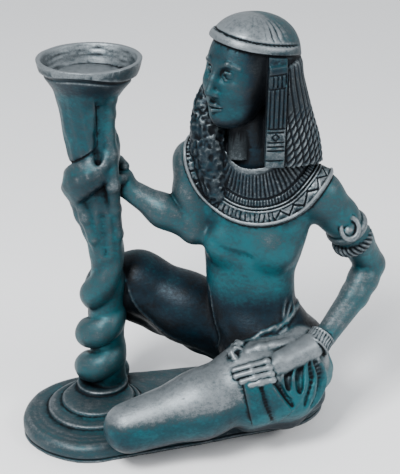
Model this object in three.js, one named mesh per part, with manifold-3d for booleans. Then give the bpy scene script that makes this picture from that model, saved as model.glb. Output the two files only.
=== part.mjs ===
// Kneeling Egyptian woman holding a twisted candlestick, cast in one piece with its low oval base.
// Millimetres, +Z up. The figure faces the viewer's side (-Y); her raised knee points to -X.
import * as THREE from 'three';
import { mergeVertices } from 'three/addons/utils/BufferGeometryUtils.js';
import Module from 'manifold-3d';

const wasm = await Module();
wasm.setup();

// Driving dimensions
const BASE_HEIGHT = 12;
const BASE_EDGE = 5;              // rounding of the upper edge of the base
const BASE_LEFT = { x: -77, y: -4, r: 50 };
const BASE_RIGHT = { x: 50, y: 28, r: 41 };
const STEP_1 = { x: -75.5, y: 3, r: 34, top: 14 };
const STEP_2 = { x: -74, y: 9, r: 26, top: 16 };
const STEM_FOOT = { x: -72, y: 25, r: 18.5, top: 19 };
const CUP_AXIS = { x: -73.6, y: 29 };
const CUP_RADIUS = 34.5;
const CUP_RIM = 265;
const CUP_FLOOR = 253;
const HEAD = { x: 31.5, y: 12, z: 261.9, turn: 50, pitch: 6 };   // top of the wig at 300
const BREASTS = [[17.5, 5, 139], [50.5, -4.5, 139]];
const BREAST_RADII = [14, 9, 13];
const FACE_MIDDLE = { x: -4, y: 0, z: 8 };    // ahead of, beside and above the middle of the head
const FACE_SIZE = 1.14;
const NECK_BASE = { x: 40, y: 14, z: 205.5 };
const NECKLINE = { a: 26, b: 15.5, wide: 1.13, raise: 1.3 };   // half sizes of the oval, and its rim
const COLLAR_RADIUS = 52;
const COLLAR_THICK = 2.4;
const COLLAR_RAISED = [[49.2, 52, 1.4], [39.4, 43.6, 0.9]];   // rim and ridges: from, to, height
const CROWN = { u: -3, v: 0, w: 8, a: 34, b: 29, c: 30.5, power: 2.3 };    // place in the head, half sizes
const BAND = { level: 19.3, half: 3.5, raise: 1.1, lean: [-0.1, 0.08] };
// Opening of the wig: degrees either side of the face, then how far in, out and back it is cut
const OPENING = { left: 72, right: 75, core: 9, reach: 70, back: 6 };
const STRAP = { x: 48.2, half: 6.3, back: 4, raise: 1.4, gap: 0.3 };
const HAIR = { lanes: 28, raise: 0.8, depth: 1.9, end: 201.7, endSlope: 0.17 };
const LIP = { edge: 253.5, raise: 1.2, slope: [-0.083, 0.233] };
const RING_TOP = { x: 101, y: 15, z: 148, r: 12, tube: 2.6 };
const RING_LOW = { x: 107.5, y: 19.5, z: 137, r: 11.6, tube: 3.2 };
const RING_RUN = new THREE.Vector3(0.45, 0.33, -0.83);
const MEDAL = { x: 102.5, y: -1.6, z: 155, a: 6.4, b: 8.4, c: 3.4, tilt: -65 };
const CUFF = { x: 82.5, y: -15, z: 75, low: 9, high: 10.2, length: 10.4 };
const CUFF_RUN = new THREE.Vector3(-0.6, -0.62, -0.5);
const FINGER = 2.3;
const KNUCKLE = 3;
const FLAP_RAISE = 1.7;
const FLAP_BACK = -24;
const FACETS = 9950;
const UP = new THREE.Vector3(0, 0, 1);
const WIDE = 600;                  // wider than the whole cast
const DEEP = 160;                  // deeper than any cut goes

// Limbs: x, y, z of the middle and the radius there
const LEFT_THIGH = [[64, -10, 56, 26], [38, -26, 50, 26], [0, -42, 40, 22], [-48, -57, 31, 17.5]];
const LEFT_CALF = [[-46, -52, 26, 14], [0, -32, 25, 15], [40, -8, 24, 14], [68, 10, 22, 11]];
const LEFT_FOOT = [[66, 14, 20, 10], [80, 26, 18, 8]];
const RIGHT_THIGH = [[28, 24, 60, 24], [-10, 36, 74, 24], [-45, 46, 90, 21], [-66, 48, 90, 16]];
const RIGHT_SKIRT = [[-56, 48, 72, 12], [-28, 44, 62, 12], [0, 36, 50, 11], [22, 24, 44, 11]];
const RIGHT_CALF = [[-71, 50, 84, 14], [-69, 46, 60, 12], [-66, 40, 26, 9.5]];
const RIGHT_FOOT = [[-62, 38, 21, 9.5], [-74, 34, 19, 8], [-83, 31, 17, 6]];
const HIP_CLOTH = [[36, -38, 38, 16], [62, -26, 42, 19], [80, -6, 44, 14]];
const HIP_CLOTH_LOW = [[34, -30, 24, 12], [60, -18, 22, 13], [78, -2, 24, 12]];
const NECK = [[40, 17, 186, 13], [35, 13, 228, 12.5]];
const SHOULDERS = [[-4, 30, 189, 12], [40, 17, 193, 15], [81, 6, 175, 13]];
const LEFT_ARM = [[81, 6, 177, 14.5], [95, 10, 158, 13], [108.5, 20, 136, 11.5], [120.5, 29, 113, 10.7]];
const LEFT_FOREARM = [[120.5, 29, 112, 10.7], [109.5, 14, 95, 9.6], [87, -11, 76, 7.5]];
const RIGHT_ARM = [[-4, 30, 192, 14], [-6, 24, 170, 11.5], [-4, 16, 145, 10]];
const RIGHT_FOREARM = [[-4, 16, 146, 10], [-25, 19, 158, 10.5], [-50, 24, 173, 7.5]];
const STEM_SIDE = [[-81.5, 24, 162.5, 8], [-78.5, 24, 153.4, 8], [-74.5, 24, 142, 7.5], [-69, 25, 128, 7.5]];
const POLE = [[-67.5, 27, 12, 12.5], [-67.5, 27, 40, 12.5], [-67, 27, 70, 12], [-66, 26, 100, 11.5],
  [-66, 25, 125, 11.5], [-68, 25, 155, 12], [-73, 26, 185, 12.5]];
const TRUNK_STRAND = [[-59.5, 10, 250, 3.5], [-59.3, 16, 241, 4.4], [-60.6, 20, 228.5, 4.2],
  [-61.7, 20, 214.4, 4.6], [-60.4, 17, 200, 5], [-59, 12, 180, 4.6], [-58.5, 18, 160, 4.2],
  [-57.6, 21, 139.8, 4], [-59, 20, 122, 3]];
const STEM_BAND = [[-75, 17.5, 166, 4], [-72.6, 17, 148, 4.4], [-71, 17.5, 126, 4]];
const LOCK = [[6, 27, 243, 6], [4.5, 24, 232, 7.5], [5.5, 21, 220, 10.5], [7.5, 19, 205, 12.5],
  [9.5, 15, 191, 11], [11, 11.5, 179, 8], [13, 8.5, 170, 5]];

// Face: ahead of, beside and above the middle of the head, before it is grown
const SKULL = [[-4, 0, 8, 28, 23, 25], [8, 0, -8, 17, 17.5, 24], [15, 0, -24.5, 7.5, 7.5, 6.5]];
const NOSE = [[23, 0, 6, 2], [26, 0, -2, 2.2], [27.8, 0, -9.5, 3.4]];
const LIPS = [[[22.6, -6, -17.4, 0.8], [24.8, 0, -16.6, 1.4], [22.6, 6, -17.4, 0.8]],
  [[22.6, -5, -19.4, 0.8], [24.4, 0, -20.2, 1.6], [22.6, 5, -19.4, 0.8]]];
const BROW = [[23.8, 3, 6.2, 1.4], [22.8, 8, 7.8, 1.4], [18.8, 13.6, 6, 0.9]];
const EYE = { socket: [25.5, 7.6, 1.4, 4.4, 5.2, 3.8], ball: [19, 7.6, 1.2, 4, 4.6, 3.2] };

// Hands
const HAND = [[87, -11, 76, 7.5], [75, -21, 72.5, 8], [65, -28.5, 71, 8], [56, -35, 69.5, 7.4],
  [50, -40, 68.3, 6.4]];
const THUMB = [[62, -22, 76, 4.4], [51, -27, 77.2, 3.5], [41, -29.5, 77.2, 3], [33, -32, 75.6, 2.7]];
const FINGERS = [
  [[45, -42, 73.4], [34, -45, 72], [23, -45.6, 69]],
  [[46.4, -45, 70.6], [35, -48, 69.2], [24, -48.8, 66.2]],
  [[47.6, -47.4, 67.4], [37, -50.4, 66], [28, -51.6, 63.6]],
  [[48.6, -49.4, 64], [40.5, -51.9, 63.2], [33.5, -53, 61.6]],
];
const BUNCH = [[30, -19, 75, 2.6], [25, -24, 74, 3.2], [22.5, -31, 73, 3.2], [23, -37, 71.6, 2.6]];
const GRIP = { x: -69, y: 25, z: 168, r: 17, step: 6.5 };      // step: from one finger to the next
const RIGHT_PALM = [[-50, 24, 174, 7.5], [-54, 27, 178, 9]];

// Kilt: the flap's outline seen from the front, then lines that lie on the cloth, with their radius
const FLAP = [[28.5, 65], [47.5, 64], [63, 38.5], [54, 29], [36, 30]];
const FOLDS = [
  { line: [[47.3, -50.2, 61.8], [50.9, -51, 54.9], [56.4, -49.3, 47.1], [62.6, -47.3, 38.9]], r: 2 },
  { line: [[56, -44.5, 64], [57, -47, 56], [65.4, -46.1, 47.8]], r: 1.9 },
  { line: [[64.8, -37.4, 66], [63, -42.5, 59], [67.2, -45.5, 48.1]], r: 2 },
  { line: [[72.7, -32.1, 67.5], [71.8, -38.5, 57], [63.2, -47.3, 39.6]], r: 2.2 },
  { line: [[76.4, -29.8, 68], [78.5, -34.5, 54], [74.1, -42.9, 39]], r: 2 },
  { line: [[81.5, -26.7, 67], [87.2, -22.7, 48.7], [76.9, -39.2, 35.3]], r: 2.4 },
  { line: [[90, -6, 74], [94, -4, 54], [92, -2, 38]], r: 1.8 },
];
const BELT = { line: [[24.7, -23, 75.1], [34.4, -19.9, 78], [44.1, -16.5, 82.5], [55.3, -12.4, 84.9],
  [62.5, -6, 87.7], [67.1, 2.5, 91.1], [70, 16, 90], [62, 32, 86], [40, 37, 82]], r: 1.6 };
const HEM = { line: [[-56, 34, 106], [-53.4, 26.7, 102.3], [-47.2, 22.4, 85.3], [-40.2, 23.1, 75.2],
  [-24.4, 16.4, 63.3], [-8, 12, 56]], r: 1.4 };
const GROIN = { line: [[6, 14, 108], [7, 8.4, 102], [10.5, 1, 82.3], [12, -4, 70], [9.3, 2, 58]], r: 1.2 };

// Level sections: z, middle x, middle y, half width, half depth, turn in degrees
const TORSO = [[50, 50, 6, 33, 29, 0], [58, 50, 6, 37, 32, 0], [68, 50, 8, 38, 32, 0],
  [80, 43, 10, 34, 28, 0], [98, 36, 13, 31, 21, -8], [115, 35, 14, 31.5, 20, -14],
  [132, 36.5, 14, 34.5, 21, -17], [150, 38.5, 14, 37, 21, -17], [168, 39, 15, 40, 19, -17],
  [182, 40, 16, 39, 17, -17], [192, 40, 16.5, 35, 17.5, -17], [202, 40, 15.5, 28, 16.5, -17],
  [209, 40, 15, 24, 14.5, -17]];
const WIG = [[194, 40, 15, 41.5, 30, -12], [199, 40, 15, 42.5, 31, -12], [215, 39.5, 15, 41, 31, -12],
  [230, 38, 15, 38, 31, -12], [245, 36.5, 14, 35, 31, -10], [258, 35.5, 13, 32.5, 30.5, -8],
  [270, 34.5, 12.5, 30.5, 29.5, -4]];
const TRUNK = [[184, -75, 26, 8, 8, 0], [190, -74.5, 26, 12, 12, 0], [203, -74.5, 26, 16, 16, 0],
  [220, -76, 26.5, 17, 17, 0], [234, -76, 27, 19, 19, 0], [243, -74.5, 28, 23.5, 23.5, 0],
  [250, CUP_AXIS.x, CUP_AXIS.y, 28.5, 28.5, 0], [257, CUP_AXIS.x, CUP_AXIS.y, 32.5, 32.5, 0],
  [CUP_RIM, CUP_AXIS.x, CUP_AXIS.y, CUP_RADIUS, CUP_RADIUS, 0]];
const CUP_HOLLOW = [[CUP_FLOOR, CUP_AXIS.x, CUP_AXIS.y, 24, 24, 0],
  [258, CUP_AXIS.x, CUP_AXIS.y, 28.5, 28.5, 0], [CUP_RIM, CUP_AXIS.x, CUP_AXIS.y, 31.5, 31.5, 0],
  [275, CUP_AXIS.x, CUP_AXIS.y, 36, 36, 0]];

// Serpent round the stem: turns counted from the left side, height, distance off the stem, radius
const COIL_STEPS = 90;
const COIL_SPREAD = 40;            // one turn counts as 40 mm where the rows are smoothed
const STEM_Y = 25.5;
const COIL = [[-0.5, 20, 8, 6], [0, 31, 11, 11], [0.5, 45, 5, 10], [1, 59, 10.5, 11], [1.5, 74, 4, 10],
  [2, 90, 8.5, 11], [2.5, 128, 4.5, 8], [3, 174, 9.5, 13], [3.5, 203, 11, 8.5], [3.9, 236, 17, 5]];
const STEM_LINE = [[10, -70], [40, -70], [70, -68], [100, -66], [125, -66], [155, -70], [185, -73],
  [240, -76]];

function solid(geometry) {
  for (const name of Object.keys(geometry.attributes)) {
    if (name !== 'position') geometry.deleteAttribute(name);
  }
  const merged = mergeVertices(geometry, 1e-4);
  const mesh = new wasm.Mesh({
    numProp: 3,
    vertProperties: new Float32Array(merged.attributes.position.array),
    triVerts: new Uint32Array(merged.index.array),
  });
  return new wasm.Manifold(mesh);
}

// A closed skin over rings of equal point counts, from the first end point to the last.
function skin(first, rings, last) {
  const sides = rings[0].length;
  const points = [first, ...rings.flat(), last];
  const index = [];
  for (let i = 0; i < sides; i++) {
    const j = (i + 1) % sides;
    index.push(0, 1 + j, 1 + i);
    for (let k = 0; k + 1 < rings.length; k++) {
      const a = 1 + k * sides;
      const b = a + sides;
      index.push(a + i, a + j, b + j, a + i, b + j, b + i);
    }
    const top = 1 + (rings.length - 1) * sides;
    index.push(points.length - 1, top + i, top + j);
  }
  const geometry = new THREE.BufferGeometry().setFromPoints(points);
  geometry.setIndex(index);
  return solid(geometry);
}

// A tube of changing radius through x, y, z, radius rows, with round ends.
function limb(rows, sides = 14, spacing = 9) {
  const path = new THREE.CatmullRomCurve3(rows.map((n) => new THREE.Vector3(n[0], n[1], n[2])));
  const girth = new THREE.CatmullRomCurve3(rows.map((n, i) => new THREE.Vector3(i, n[3], 0)));
  const count = Math.max(rows.length, Math.round(path.getLength() / spacing) + 1);
  const rings = [];
  const tangent = path.getTangent(0);
  let side = new THREE.Vector3(0, 0, 1);
  if (Math.abs(tangent.z) > 0.8) side.set(0, 1, 0);
  const ring = (t, shift, scale) => {
    const dir = path.getTangent(t);
    side = side.clone().addScaledVector(dir, -side.dot(dir)).normalize();
    const other = new THREE.Vector3().crossVectors(dir, side);
    const middle = path.getPoint(t).addScaledVector(dir, shift);
    const r = girth.getPoint(t).y * scale;
    return Array.from({ length: sides }, (_, i) => {
      const a = (i / sides) * 2 * Math.PI;
      return middle.clone().addScaledVector(side, r * Math.cos(a)).addScaledVector(other, r * Math.sin(a));
    });
  };
  const cap = [35, 65];
  const r0 = rows[0][3];
  const r1 = rows[rows.length - 1][3];
  const deg = Math.PI / 180;
  for (const a of [...cap].reverse()) rings.push(ring(0, -r0 * Math.sin(a * deg), Math.cos(a * deg)));
  for (let i = 0; i < count; i++) rings.push(ring(i / (count - 1), 0, 1));
  for (const a of cap) rings.push(ring(1, r1 * Math.sin(a * deg), Math.cos(a * deg)));
  const start = path.getPoint(0).addScaledVector(path.getTangent(0), -r0);
  const end = path.getPoint(1).addScaledVector(path.getTangent(1), r1);
  return skin(start, rings, end);
}

// Level oval sections, from the lowest up. Flutes set every second point back by their depth.
function stack(rows, sides = 28, flutes = 0) {
  const rings = rows.map(([z, x, y, a, b, turn]) => Array.from({ length: sides }, (_, i) => {
    const u = (i / sides) * 2 * Math.PI;
    const t = THREE.MathUtils.degToRad(turn);
    const p = (a - flutes * (i % 2)) * Math.cos(u);
    const q = (b - flutes * (i % 2)) * Math.sin(u);
    return new THREE.Vector3(x + p * Math.cos(t) - q * Math.sin(t), y + p * Math.sin(t) + q * Math.cos(t), z);
  }));
  const low = rows[0];
  const high = rows[rows.length - 1];
  return skin(new THREE.Vector3(low[1], low[2], low[0]), rings, new THREE.Vector3(high[1], high[2], high[0]));
}

// A ball, or with a power above 2 one that is drawn out towards a box.
function ball(x, y, z, rx, ry, rz, frame = null, across = 20, up = 12, power = 2) {
  const geometry = new THREE.SphereGeometry(1, across, up);
  geometry.rotateX(Math.PI / 2);
  const spots = geometry.attributes.position;
  for (let i = 0; i < spots.count; i++) {
    const spot = new THREE.Vector3().fromBufferAttribute(spots, i);
    const reach = spot.toArray().reduce((sum, v) => sum + Math.abs(v) ** power, 0);
    spot.multiplyScalar(reach ** (-1 / power));
    spots.setXYZ(i, spot.x, spot.y, spot.z);
  }
  geometry.scale(rx, ry, rz);
  geometry.translate(x, y, z);
  if (frame) geometry.applyMatrix4(frame);
  return solid(geometry);
}

// The turn that carries one direction into another.
function turnTo(from, to) {
  return new THREE.Quaternion().setFromUnitVectors(from.clone().normalize(), to.clone().normalize());
}

// All that lies between two levels, measured from a point along a direction.
function layer(from, direction, low, high) {
  const slab = new THREE.BoxGeometry(WIDE, WIDE, high - low);
  slab.translate(0, 0, (low + high) / 2);
  slab.applyQuaternion(turnTo(UP, direction));
  slab.translate(from.x, from.y, from.z);
  return solid(slab);
}

function thicker(rows, extra) {
  return rows.map(([x, y, z, r]) => [x, y, z, r + extra]);
}

function thickerLevels(rows, extra) {
  return rows.map(([z, x, y, a, b, turn]) => [z, x, y, a + extra, b + extra, turn]);
}

// Outline of the base: the hull of a larger and a smaller circle.
function baseRing(inset, z, sides = 52) {
  return Array.from({ length: sides }, (_, i) => {
    const a = (i / sides) * 2 * Math.PI;
    const nx = Math.cos(a);
    const ny = Math.sin(a);
    const reach = (c) => c.x * nx + c.y * ny + c.r;
    const c = reach(BASE_LEFT) > reach(BASE_RIGHT) ? BASE_LEFT : BASE_RIGHT;
    return new THREE.Vector3(c.x + nx * (c.r - inset), c.y + ny * (c.r - inset), z);
  });
}

function base() {
  const rings = [baseRing(0, 0)];
  for (const a of [0, 30, 60, 90]) {
    const t = THREE.MathUtils.degToRad(a);
    rings.push(baseRing(BASE_EDGE * (1 - Math.cos(t)), BASE_HEIGHT - BASE_EDGE * (1 - Math.sin(t))));
  }
  const plate = skin(new THREE.Vector3(-20, 10, 0), rings, new THREE.Vector3(-20, 10, BASE_HEIGHT));
  const steps = [STEP_1, STEP_2, STEM_FOOT].map(({ x, y, r, top }) => {
    const disc = new THREE.CylinderGeometry(r - 1, r + 0.5, top - 4, 36);
    disc.rotateX(Math.PI / 2);
    disc.translate(x, y, 4 + (top - 4) / 2);
    return solid(disc);
  });
  return [plate, ...steps];
}

function candlestick() {
  const stem = (z) => {
    let i = 0;
    while (i < STEM_LINE.length - 2 && z > STEM_LINE[i + 1][0]) i++;
    const [z0, x0] = STEM_LINE[i];
    const [z1, x1] = STEM_LINE[i + 1];
    return THREE.MathUtils.lerp(x0, x1, THREE.MathUtils.clamp((z - z0) / (z1 - z0), 0, 1));
  };
  const curve = (spot) => new THREE.CatmullRomCurve3(COIL.map(spot));
  const turns = curve((n) => new THREE.Vector3(n[0] * COIL_SPREAD, n[1], n[2]));
  const girth = curve((n) => new THREE.Vector3(n[0] * COIL_SPREAD, n[3], 0));
  const rows = [];
  for (let i = 0; i <= COIL_STEPS; i++) {
    const u = i / COIL_STEPS;
    const p = turns.getPoint(u);
    const angle = Math.PI + 2 * Math.PI * (p.x / COIL_SPREAD);
    rows.push([stem(p.y) + p.z * Math.cos(angle), STEM_Y + p.z * Math.sin(angle), p.y, girth.getPoint(u).y]);
  }
  const lipSide = new THREE.Vector3(LIP.slope[0], LIP.slope[1], 1);
  const lip = stack(thickerLevels(TRUNK, LIP.raise), 32)
    .intersect(layer({ x: CUP_AXIS.x, y: CUP_AXIS.y, z: LIP.edge }, lipSide, 0, DEEP));
  const cup = wasm.Manifold.union([stack(TRUNK, 32), lip]).subtract(stack(CUP_HOLLOW, 32));
  return [limb(POLE, 16, 16), limb(STEM_SIDE, 10, 9), limb(rows, 10, 8), limb(TRUNK_STRAND, 8, 9),
    limb(STEM_BAND, 8, 12), cup];
}

function headFrame() {
  const turn = THREE.MathUtils.degToRad(HEAD.turn);
  const pitch = THREE.MathUtils.degToRad(HEAD.pitch);
  const flat = new THREE.Vector3(-Math.sin(turn), -Math.cos(turn), 0);
  const side = new THREE.Vector3(Math.cos(turn), -Math.sin(turn), 0);
  const front = flat.clone().multiplyScalar(Math.cos(pitch)).setZ(Math.sin(pitch));
  const up = flat.clone().multiplyScalar(-Math.sin(pitch)).setZ(Math.cos(pitch));
  return new THREE.Matrix4().makeBasis(front, side, up).setPosition(HEAD.x, HEAD.y, HEAD.z);
}

function face(frame) {
  const { x, y, z } = FACE_MIDDLE;
  const grown = frame.clone()
    .multiply(new THREE.Matrix4().makeTranslation(x, y, z))
    .multiply(new THREE.Matrix4().makeScale(FACE_SIZE, FACE_SIZE, FACE_SIZE))
    .multiply(new THREE.Matrix4().makeTranslation(-x, -y, -z));
  const inPlace = (rows, side = 1) => rows.map(([u, v, w, r]) => {
    const spot = new THREE.Vector3(u, v * side, w).applyMatrix4(grown);
    return [spot.x, spot.y, spot.z, r * FACE_SIZE];
  });
  const paired = (build) => [build(1), build(-1)];
  const onSide = ([u, v, w, ...radii], side) => ball(u, v * side, w, ...radii, grown, 12, 8);
  const skull = wasm.Manifold.union(SKULL.map((row) => ball(...row, grown, 20, 14)))
    .subtract(wasm.Manifold.union(paired((side) => onSide(EYE.socket, side))));
  return [
    skull,
    limb(inPlace(NOSE), 8, 6),
    ...LIPS.map((rows) => limb(inPlace(rows), 6, 5)),
    ...paired((side) => limb(inPlace(BROW, side), 6, 6)),
    ...paired((side) => onSide(EYE.ball, side)),
  ];
}

// The crown of the wig, a little squarer than a ball, grown by some extra thickness.
function crown(frame, extra) {
  const { u, v, w, a, b, c, power } = CROWN;
  return ball(u, v, w, a + extra, b + extra, c + extra, frame, 32, 20, power);
}

// Crown and hanging hair together, without their locks.
function wigMass(frame, extra) {
  return wasm.Manifold.union([stack(thickerLevels(WIG, extra), 48), crown(frame, extra)]);
}

// Long wig: locks of hair, a headband, and a strap that hangs in front of the ear.
function wig(frame) {
  const axes = new THREE.Matrix4().extractRotation(frame);
  const bandMiddle = new THREE.Vector3(0, 0, BAND.level).applyMatrix4(frame);
  const bandUp = new THREE.Vector3(BAND.lean[0], BAND.lean[1], 1).applyMatrix4(axes);
  const below = layer(bandMiddle, bandUp, -DEEP, -BAND.half);
  const locks = stack(thickerLevels(WIG, HAIR.raise), 2 * HAIR.lanes, HAIR.depth);
  const band = wigMass(frame, BAND.raise).intersect(layer(bandMiddle, bandUp, -BAND.half, BAND.half));
  const ribbon = new THREE.BoxGeometry(2 * STRAP.half, DEEP, DEEP);
  ribbon.translate(STRAP.x, STRAP.back - DEEP / 2, HEAD.z);
  const strap = wigMass(frame, STRAP.raise).intersect(solid(ribbon)).intersect(below);
  const corners = [[OPENING.core, OPENING.left], [OPENING.reach, OPENING.left], [1.3 * OPENING.reach, 0],
    [OPENING.reach, -OPENING.right], [OPENING.core, -OPENING.right]];
  const outline = new THREE.Shape(corners.map(([r, angle]) => {
    const a = THREE.MathUtils.degToRad(angle);
    return new THREE.Vector2(r * Math.cos(a), r * Math.sin(a));
  }));
  const prism = new THREE.ExtrudeGeometry(outline, { depth: DEEP, bevelEnabled: false, steps: 1 });
  prism.translate(0, 0, BAND.level + 20 - DEEP);
  prism.applyMatrix4(frame);
  const beside = new THREE.BoxGeometry(DEEP, DEEP, DEEP);
  beside.translate(STRAP.x - STRAP.half - STRAP.gap - DEEP / 2, OPENING.back - DEEP / 2, HEAD.z);
  const opening = wasm.Manifold.union([solid(prism), solid(beside)]).intersect(below);
  const ends = layer({ x: 0, y: 0, z: HAIR.end }, new THREE.Vector3(0, HAIR.endSlope, 1), -DEEP, 0);
  return wasm.Manifold.union([locks, crown(frame, 0), band, strap]).subtract(opening).subtract(ends);
}

function head() {
  const frame = headFrame();
  return [...face(frame), wig(frame), limb(LOCK, 12, 9)];
}

function leftHand() {
  const fingers = FINGERS.map((line) => limb(line.map(([x, y, z]) => [x, y, z, FINGER]), 8, 9));
  const knuckles = FINGERS.map(([[x, y, z]]) => ball(x, y, z, KNUCKLE, KNUCKLE, KNUCKLE, null, 8, 6));
  return [limb(HAND, 12, 9), limb(THUMB, 8, 9), ...fingers, ...knuckles, limb(BUNCH, 8, 6)];
}

// One finger round the stem, between two angles in degrees.
function grip(z, from, to, rise, radius) {
  const count = 6;
  const rows = Array.from({ length: count }, (_, j) => {
    const share = j / (count - 1);
    const a = THREE.MathUtils.degToRad(from + (to - from) * share);
    const x = GRIP.x + GRIP.r * Math.cos(a);
    const y = GRIP.y + GRIP.r * Math.sin(a);
    return [x, y, z + rise * share, radius * (1 - 0.15 * share)];
  });
  return limb(rows, 8, 9);
}

function rightHand() {
  const fingers = [0, 1, 2, 3].map((i) => grip(GRIP.z + GRIP.step * i, 10, 165, 4, 4));
  const thumb = grip(GRIP.z + 11, 0, -62, 5, 4.2);
  return [limb(RIGHT_PALM, 12, 6), ...fingers, thumb];
}

function upperBody(extra) {
  return wasm.Manifold.union([
    stack(thickerLevels(TORSO, extra)), limb(thicker(LEFT_ARM, extra)), limb(thicker(RIGHT_ARM, extra)),
    limb(thicker(SHOULDERS, extra), 14, 12), limb(thicker(NECK, extra), 16, 12),
  ]);
}

// Broad collar: the upper body made thicker, between the oval neckline and a ball round the neck.
function collar() {
  const { x, y, z } = NECK_BASE;
  const round = (r) => ball(x, y, z, r, r, r, null, 40, 24);
  const oval = (share) => {
    const tube = new THREE.CylinderGeometry(1, 1, 90, 32);
    tube.rotateX(Math.PI / 2);
    tube.scale(NECKLINE.a * share, NECKLINE.b * share, 1);
    tube.translate(x, y, z);
    return solid(tube);
  };
  const sheet = upperBody(COLLAR_THICK).intersect(round(COLLAR_RADIUS));
  const raised = COLLAR_RAISED.map(([from, to, height]) => upperBody(COLLAR_THICK + height)
    .intersect(round(to)).subtract(round(from)));
  const edge = upperBody(COLLAR_THICK + NECKLINE.raise).intersect(oval(NECKLINE.wide));
  return wasm.Manifold.union([sheet, ...raised, edge]).subtract(oval(1));
}

function ring({ x, y, z, r, tube }, run) {
  const torus = new THREE.TorusGeometry(r, tube, 8, 20);
  torus.applyQuaternion(turnTo(UP, run));
  torus.translate(x, y, z);
  return solid(torus);
}

function jewels() {
  const cuff = new THREE.CylinderGeometry(CUFF.high, CUFF.low, CUFF.length, 20);
  cuff.applyQuaternion(turnTo(new THREE.Vector3(0, 1, 0), CUFF_RUN));
  cuff.translate(CUFF.x, CUFF.y, CUFF.z);
  const place = new THREE.Matrix4().makeRotationX(THREE.MathUtils.degToRad(MEDAL.tilt));
  place.setPosition(MEDAL.x, MEDAL.y, MEDAL.z);
  const medal = ball(0, 0, 0, MEDAL.a, MEDAL.b, MEDAL.c, place, 16, 8);
  return [ring(RING_TOP, RING_RUN), ring(RING_LOW, RING_RUN), medal, solid(cuff)];
}

function body() {
  const thigh = { sides: 18, spacing: 11 };
  return [
    limb(LEFT_THIGH, thigh.sides, thigh.spacing), limb(LEFT_CALF, 14, 12), limb(LEFT_FOOT, 12, 9),
    limb(RIGHT_THIGH, thigh.sides, thigh.spacing), limb(RIGHT_SKIRT, 14, 12), limb(RIGHT_CALF, 14, 12),
    limb(RIGHT_FOOT, 12, 9), limb(HIP_CLOTH, 14, 11), limb(HIP_CLOTH_LOW, 12, 12), upperBody(0),
    limb(LEFT_FOREARM), limb(RIGHT_FOREARM),
    ...BREASTS.map((middle) => ball(...middle, ...BREAST_RADII, null, 14, 10)),
  ];
}

// Moves the points of a line to the nearest spots on a skin.
function settle({ line, r }, mesh) {
  const corner = (i) => new THREE.Vector3().fromArray(mesh.vertProperties, mesh.triVerts[i] * mesh.numProp);
  const facets = [];
  for (let i = 0; i < mesh.triVerts.length; i += 3) {
    facets.push(new THREE.Triangle(corner(i), corner(i + 1), corner(i + 2)));
  }
  const near = new THREE.Vector3();
  const smooth = new THREE.CatmullRomCurve3(line.map(([x, y, z]) => new THREE.Vector3(x, y, z)));
  return smooth.getPoints(line.length + 1).map((spot, i, all) => {
    const best = spot.clone();
    let least = Infinity;
    for (const facet of facets) {
      facet.closestPointToPoint(spot, near);
      const away = near.distanceToSquared(spot);
      if (away < least) {
        least = away;
        best.copy(near);
      }
    }
    const taper = Math.sqrt(Math.sin(0.15 + (i / (all.length - 1)) * (Math.PI - 0.3)));
    return [best.x, best.y, best.z, r * taper];
  });
}

// Kilt: a flap under the hand, folds that hang over the hip, belt and hems.
function kilt(figure) {
  const mesh = figure.getMesh();
  const cloth = [limb(thicker(LEFT_THIGH, FLAP_RAISE), 18, 11), limb(thicker(HIP_CLOTH, FLAP_RAISE), 14, 11),
    limb(thicker(HIP_CLOTH_LOW, FLAP_RAISE), 12, 12)];
  const outline = new THREE.Shape(FLAP.map(([x, z]) => new THREE.Vector2(x, z)));
  const prism = new THREE.ExtrudeGeometry(outline, { depth: DEEP, bevelEnabled: false, steps: 1 });
  prism.rotateX(Math.PI / 2);
  prism.translate(0, FLAP_BACK, 0);
  const flap = wasm.Manifold.union(cloth).intersect(solid(prism));
  const lines = [...FOLDS, BELT, HEM, GROIN].map((one) => limb(settle(one, mesh), 6, 7));
  return wasm.Manifold.union([figure, flap, ...lines]);
}

// Pockets shut in between the joined pieces are filled: only the outer skin is kept.
function outerSkin(vertexCount, triangles) {
  const parent = Array.from({ length: vertexCount }, (_, i) => i);
  const root = (i) => {
    while (parent[i] !== i) i = parent[i] = parent[parent[i]];
    return i;
  };
  for (let i = 0; i < triangles.length; i += 3) {
    parent[root(triangles[i])] = root(triangles[i + 1]);
    parent[root(triangles[i + 1])] = root(triangles[i + 2]);
  }
  const sizes = new Map();
  for (const v of triangles) sizes.set(root(v), (sizes.get(root(v)) ?? 0) + 1);
  const largest = [...sizes.entries()].sort((a, b) => b[1] - a[1])[0][0];
  const kept = [];
  for (let i = 0; i < triangles.length; i += 3) {
    if (root(triangles[i]) === largest) kept.push(triangles[i], triangles[i + 1], triangles[i + 2]);
  }
  return kept;
}

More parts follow.
